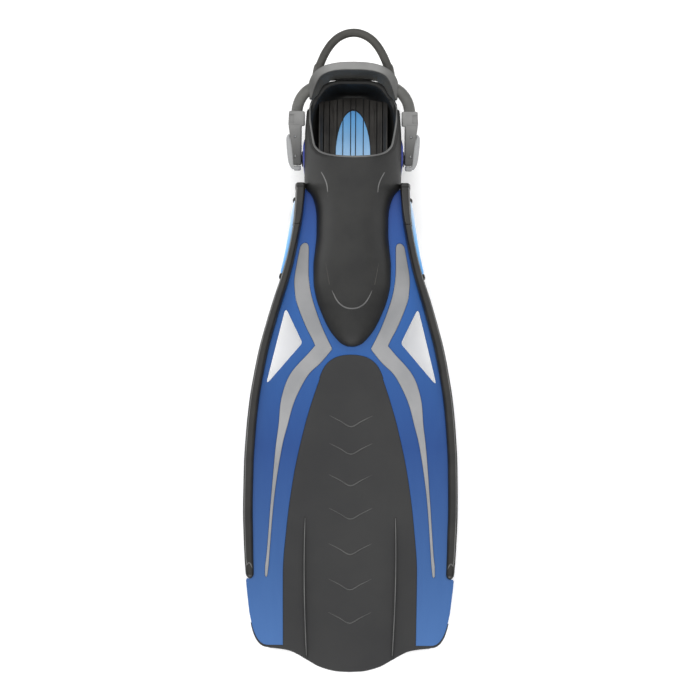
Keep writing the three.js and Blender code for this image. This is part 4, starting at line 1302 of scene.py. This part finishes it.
loop_half = [(37.4, 613, 73.6), (36.5, 617.8, 74.8), (32.9, 626.4, 77.2), (29.1, 634.1, 79),
             (23.6, 642.3, 80.4), (16.8, 648.9, 81.3), (8.4, 653.2, 81.9), (0, 654.6, 82)]
loop_line = smooth([(-x, s, z) for x, s, z in loop_half[:-1]] + list(reversed(loop_half)), 8)
loop = draft("loop", tube(loop_line, LOOP_R, 36))
for side in (-1, 1):
    shoulder = [(side * 37.4, 611.5, 73.4), (side * 35.8, 619, 75.2)]
    boolean(loop, tube(shoulder, 5.6, 36), "UNION")
melted(loop, 0.7, 4)
finished(loop, "pull_loop_skin", "heel_strap", "strap_rubber", loop_rubber, ["pull_loop"])
pad = draft("pad", pad_shape())
melted(pad, 0.7, 3)
finished(pad, "heel_pad_skin", "heel_strap", "strap_rubber", pad_rubber, ["heel_pad"])

# %% [markdown]
# Each arm is a round elastic cord that runs through the buckle's collar. When the strap is pulled the
# arm stretches; here it is one fixed tube that rides on no body.

# %% Strap arms
def strap_point(along, x):
    """A point on the strap's climb, along it from the stud and at a distance across the fin."""
    return (x, PIVOT_S + along * math.cos(TILT), PIVOT_Z + along * math.sin(TILT))


arm_stations = [(35.5, 0), (42, 0), (48, 0), (54, -0.8), (60, -2.8), (65.2, -5.8), (69.6, -9.8),
                (72.8, -14.2)]
for side, sign in (("right", 1), ("left", -1)):
    arm_line = smooth([strap_point(along, sign * (PIVOT_X + CORD_X + dx)) for along, dx in arm_stations], 6)
    arm = piece(f"strap_arm_{side}_skin", tube(arm_line, CORD_R, 40), None, "strap_rubber", strap_rubber,
                [f"strap_arm_{side}"])
    held, pulled = strap_point(50, sign * PIVOT_X), strap_point(76, sign * PIVOT_X)
    place(*held)
    place(*pulled)
    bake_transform(arm)

# %% [markdown]
# # The buckles
# Each buckle is a nylon frame that snaps on a stud beside the pocket. Two cheeks hold a lever on a pin, and
# a toothed rack inside is where the strap's length is held. A buckle is drawn in its own measures, along
# the strap, outward and across, and then tilted to the strap's climb.

# %% Buckle measures
LEVER_PIN, CATCH_PIN, PIN_R, STUD_R = (23.2, 8.0), (2.8, 7.7), 1.2, 4
CHEEK_INNER, CHEEK_OUTER = 9, 11
BASE_LOW, BASE_HIGH = 1.7, 3.1
COLLAR_FROM, COLLAR_TO, COLLAR_HALF = 34, 49.6, 11


def on_buckle(along, outward, across):
    """A place in the buckle's own measures as a place on the fin."""
    return (PIVOT_X + outward, PIVOT_S + along * math.cos(TILT) - across * math.sin(TILT),
            PIVOT_Z + along * math.sin(TILT) + across * math.cos(TILT))


def buckle_shape(shape):
    """A shape in the buckle's own measures, tilted to its place."""
    return [on_buckle(*p) for p in shape[0]], shape[1]


def buckle_slab(outline, low, high, edge):
    """An outline of (along, outward) points as a plate between two places across the buckle."""
    points, faces = slab(outline, high - low, edge, (), 3.0)
    return [(a, b, c + (low + high) / 2) for a, b, c in points], faces


print("the strap climbs", round(math.degrees(TILT)), "degrees from the stud")

# %% [markdown]
# The frame starts as the collar that holds the strap's end. Two cheeks and a base are joined to it, and
# then the ways are cut: the cord's, the rack's, the stud's hole and those for the two pins. It is finished
# in its own measures and only then tilted, so every cut is square to the buckle.

# %% Buckle frame
CHEEK_TO = COLLAR_FROM + 1
cheek = rounded([(-6.4, BASE_LOW, 1.4), (-6.4, 9.4, 2.6), (13, 11.2, 6), (24, 13.4, 6), (CHEEK_TO, 15, 1.2),
                 (CHEEK_TO, BASE_LOW, 1.2)])
collar = rounded([(COLLAR_FROM, -1.6, 2), (COLLAR_FROM, 15.2, 2), (COLLAR_TO, 14.6, 2),
                  (COLLAR_TO, -1.6, 2)])
base_plate = [(-6.2, BASE_LOW), (CHEEK_TO, BASE_LOW), (CHEEK_TO, BASE_HIGH), (-6.2, BASE_HIGH)]
recess = rounded([(COLLAR_FROM + 3.2, 9.2, 0.8), (COLLAR_FROM + 3.2, 14.4, 0.8),
                  (COLLAR_TO - 3.4, 14.2, 0.8), (COLLAR_TO - 3.4, 9.2, 0.8)], 4)
rack_way = [(COLLAR_FROM - 4, BASE_HIGH), (COLLAR_FROM + 6, BASE_HIGH), (COLLAR_FROM + 6, 6.4),
            (COLLAR_FROM - 4, 6.4)]


def rod_between(start, end, radius, sides=40):
    """A plain round rod, as a tool for a hole."""
    axis = Vector(end) - Vector(start)
    return turned([(radius, 0), (radius, axis.length)], start, axis, sides)


def frame_draft():
    """The buckle's frame in its own measures."""
    body = draft("buckle", buckle_slab(collar, -COLLAR_HALF, COLLAR_HALF, 1.3))
    parts = [buckle_slab(cheek, CHEEK_INNER, CHEEK_OUTER, 0.7),
             buckle_slab(cheek, -CHEEK_OUTER, -CHEEK_INNER, 0.7),
             buckle_slab(base_plate, -CHEEK_OUTER + 0.2, CHEEK_OUTER - 0.2, 0.3)]
    for part in parts:
        boolean(body, part, "UNION")
    cuts = [rod_between((COLLAR_FROM - 6, CORD_X, 0), (COLLAR_TO + 4, CORD_X, 0), CORD_R + 0.3, 48),
            buckle_slab(rack_way, -6.6, 6.6, 0.2), rod_between((0, -2, 0), (0, 5, 0), STUD_R + 0.3)]
    cuts += [rod_between((along, out, -14), (along, out, 14), PIN_R + 0.15)
             for along, out in (LEVER_PIN, CATCH_PIN)]
    cuts += [buckle_slab(recess, COLLAR_HALF - 1.3, COLLAR_HALF + 2, 0.2)]
    for part in cuts:
        boolean(body, part, "DIFFERENCE")
    return body


frame_mesh = frame_draft()
frame_points = [(v.co.x / MM, (v.co.y - TIP_Y) / MM, v.co.z / MM) for v in frame_mesh.data.vertices]
frame_faces = [tuple(p.vertices) for p in frame_mesh.data.polygons]
bpy.data.objects.remove(frame_mesh)
tilted_frame = buckle_shape((frame_points, frame_faces))
pair("buckle_frame", tilted_frame, "buckles", "buckle_plastic", nylon, sharp=32)

# %% [markdown]
# The lever is a pressed shell that curves along the buckle and hooks round its end, where a thumb lifts it.
# Seen from the side it is one closed line, so it is a slab across the buckle, with two lugs that reach
# down to the pin. It rides on its own body, because it opens.

# %% Lever
lever_line = [*smooth([(26.2, 13.2), (24.6, 16), (19, 17.3), (1, 15.6), (-6.6, 13.6), (-10.6, 10.8)], 6),
              *rounded([(-12, 9.4, 1.2), (-12, 2.4, 1.2), (-7, 2.4, 1.0), (-7, 8.6, 1.0)], 3),
              *smooth([(-5.4, 9.4), (4, 10), (16, 11), (20, 11.6)], 4)]
lug = rounded([(20.2, 14, 0.5), (20.4, 5.8, 2), (26, 5.8, 2), (26, 13, 1), (24, 15, 0.5)])
LEVER_HALF = CHEEK_INNER - 0.4
lever_shape = together(buckle_slab(lever_line, -LEVER_HALF, LEVER_HALF, 0.5),
                       buckle_slab(lug, 6.2, LEVER_HALF, 0.4), buckle_slab(lug, -LEVER_HALF, -6.2, 0.4))
pair("buckle_lever", buckle_shape(lever_shape), "lever_{side}", "lever_grey", silver)

# %% [markdown]
# Inside the frame sit the two pins, the spring that shuts the lever and the rack. The pins are turned, the
# spring is a fine tube along a helix, and the rack is a slab whose upper side is a row of teeth.

# %% Pins, springs and racks
SPRING_STEPS = 18  # points in one turn of the spring


def pin_shape(along, out):
    """A pin with domed ends across the buckle."""
    end = CHEEK_OUTER - 0.6
    outline = [(0.5, -end), (PIN_R - 0.2, -end + 0.15), (PIN_R, -end + 0.5), (PIN_R, end - 0.5),
               (PIN_R - 0.2, end - 0.15), (0.5, end)]
    return turned(outline, (along, out, 0), (0, 0, 1), 24)


def spring_shape(turns=9, wire=0.32, radius=1.88, half=5.6):
    """A coil of wire round the lever's pin."""
    coil = []
    for k in range(turns * SPRING_STEPS + 1):
        t = 2 * math.pi * k / SPRING_STEPS
        coil.append((LEVER_PIN[0] + radius * math.cos(t), LEVER_PIN[1] + radius * math.sin(t),
                     -half + 2 * half * k / (turns * SPRING_STEPS)))
    return tube(coil, wire, 8)


def rack_shape():
    """A flat bar with eight teeth on its outward side."""
    teeth = [p for along in spaced(9, 30, 8) for p in ((along, 4.7), (along + 2.0, 5.7), (along + 2.4, 5.6))]
    return buckle_slab([(8.4, BASE_HIGH + 0.3), *teeth, (33.2, 4.9), (33.2, BASE_HIGH + 0.3)], -6, 6, 0.15)


pair("lever_pin", buckle_shape(pin_shape(*LEVER_PIN)), "buckles", "steel", steel)
pair("catch_pin", buckle_shape(pin_shape(*CATCH_PIN)), "buckles", "steel", steel)
pair("lever_spring", buckle_shape(spring_shape()), "buckles", "steel", steel)
pair("strap_rack", buckle_shape(rack_shape()), "buckles", "buckle_plastic", nylon)

# %% [markdown]
# The stud stands on a blue plate beside the pocket. Its waist is the axle on which the whole buckle and
# strap swing, and a screw holds it. Stud and screw are turned. The plate is a slab stood on edge and bowed,
# so that its middle stands out like a lens and its rim sinks into the rubber.

# %% Studs, screws and plates
stud_line = [(0.2, 0), (7.7, 0), (8, 0.25), (8, 0.8), (7.6, 1.05), (4.6, 1.3), (STUD_R, 1.6), (STUD_R, 3.1),
             (4.6, 3.45), (6.1, 3.65), (6.4, 3.9), (6.4, 4.7), (6.1, 5), (2.3, 5), (2.2, 4.9), (2.2, 3.4),
             (0.2, 3.4)]
screw_line = [(0.2, 3.7), (1.8, 3.7), (1.9, 3.8), (1.9, 5.3), (3.5, 5.3), (3.6, 5.4), (3.3, 5.8),
              (2.9, 5.95), (1.3, 5.95), (1.2, 5.5), (0.2, 5.5)]
OUTWARD = (0, 1, 0)
pair("buckle_stud", buckle_shape(turned(stud_line, (0, 0, 0), OUTWARD)), "fin", "buckle_plastic", nylon)
pair("stud_screw", buckle_shape(turned(screw_line, (0, 0, 0), OUTWARD, 30)), "fin", "steel", steel)
plate_line = rounded([(513, 36, 6), (547, 34, 6), (549.6, 52, 6), (540, 66, 6), (516, 67, 6)])
PLATE_THICK, PLATE_BOW = 3.6, 1.5
PLATE_MIDDLE, PLATE_HALF = 531, 20
plate_points, plate_faces = slab(plate_line, PLATE_THICK, 1.1, (), 3.0)
plate_x = PIVOT_X - 0.1 - PLATE_THICK / 2
plate_shape = [(plate_x + c - PLATE_BOW * ((a - PLATE_MIDDLE) / PLATE_HALF) ** 2, a, b)
               for a, b, c in plate_points], plate_faces
pair("stud_plate", plate_shape, "fin", "blue_frame", stud_blue)
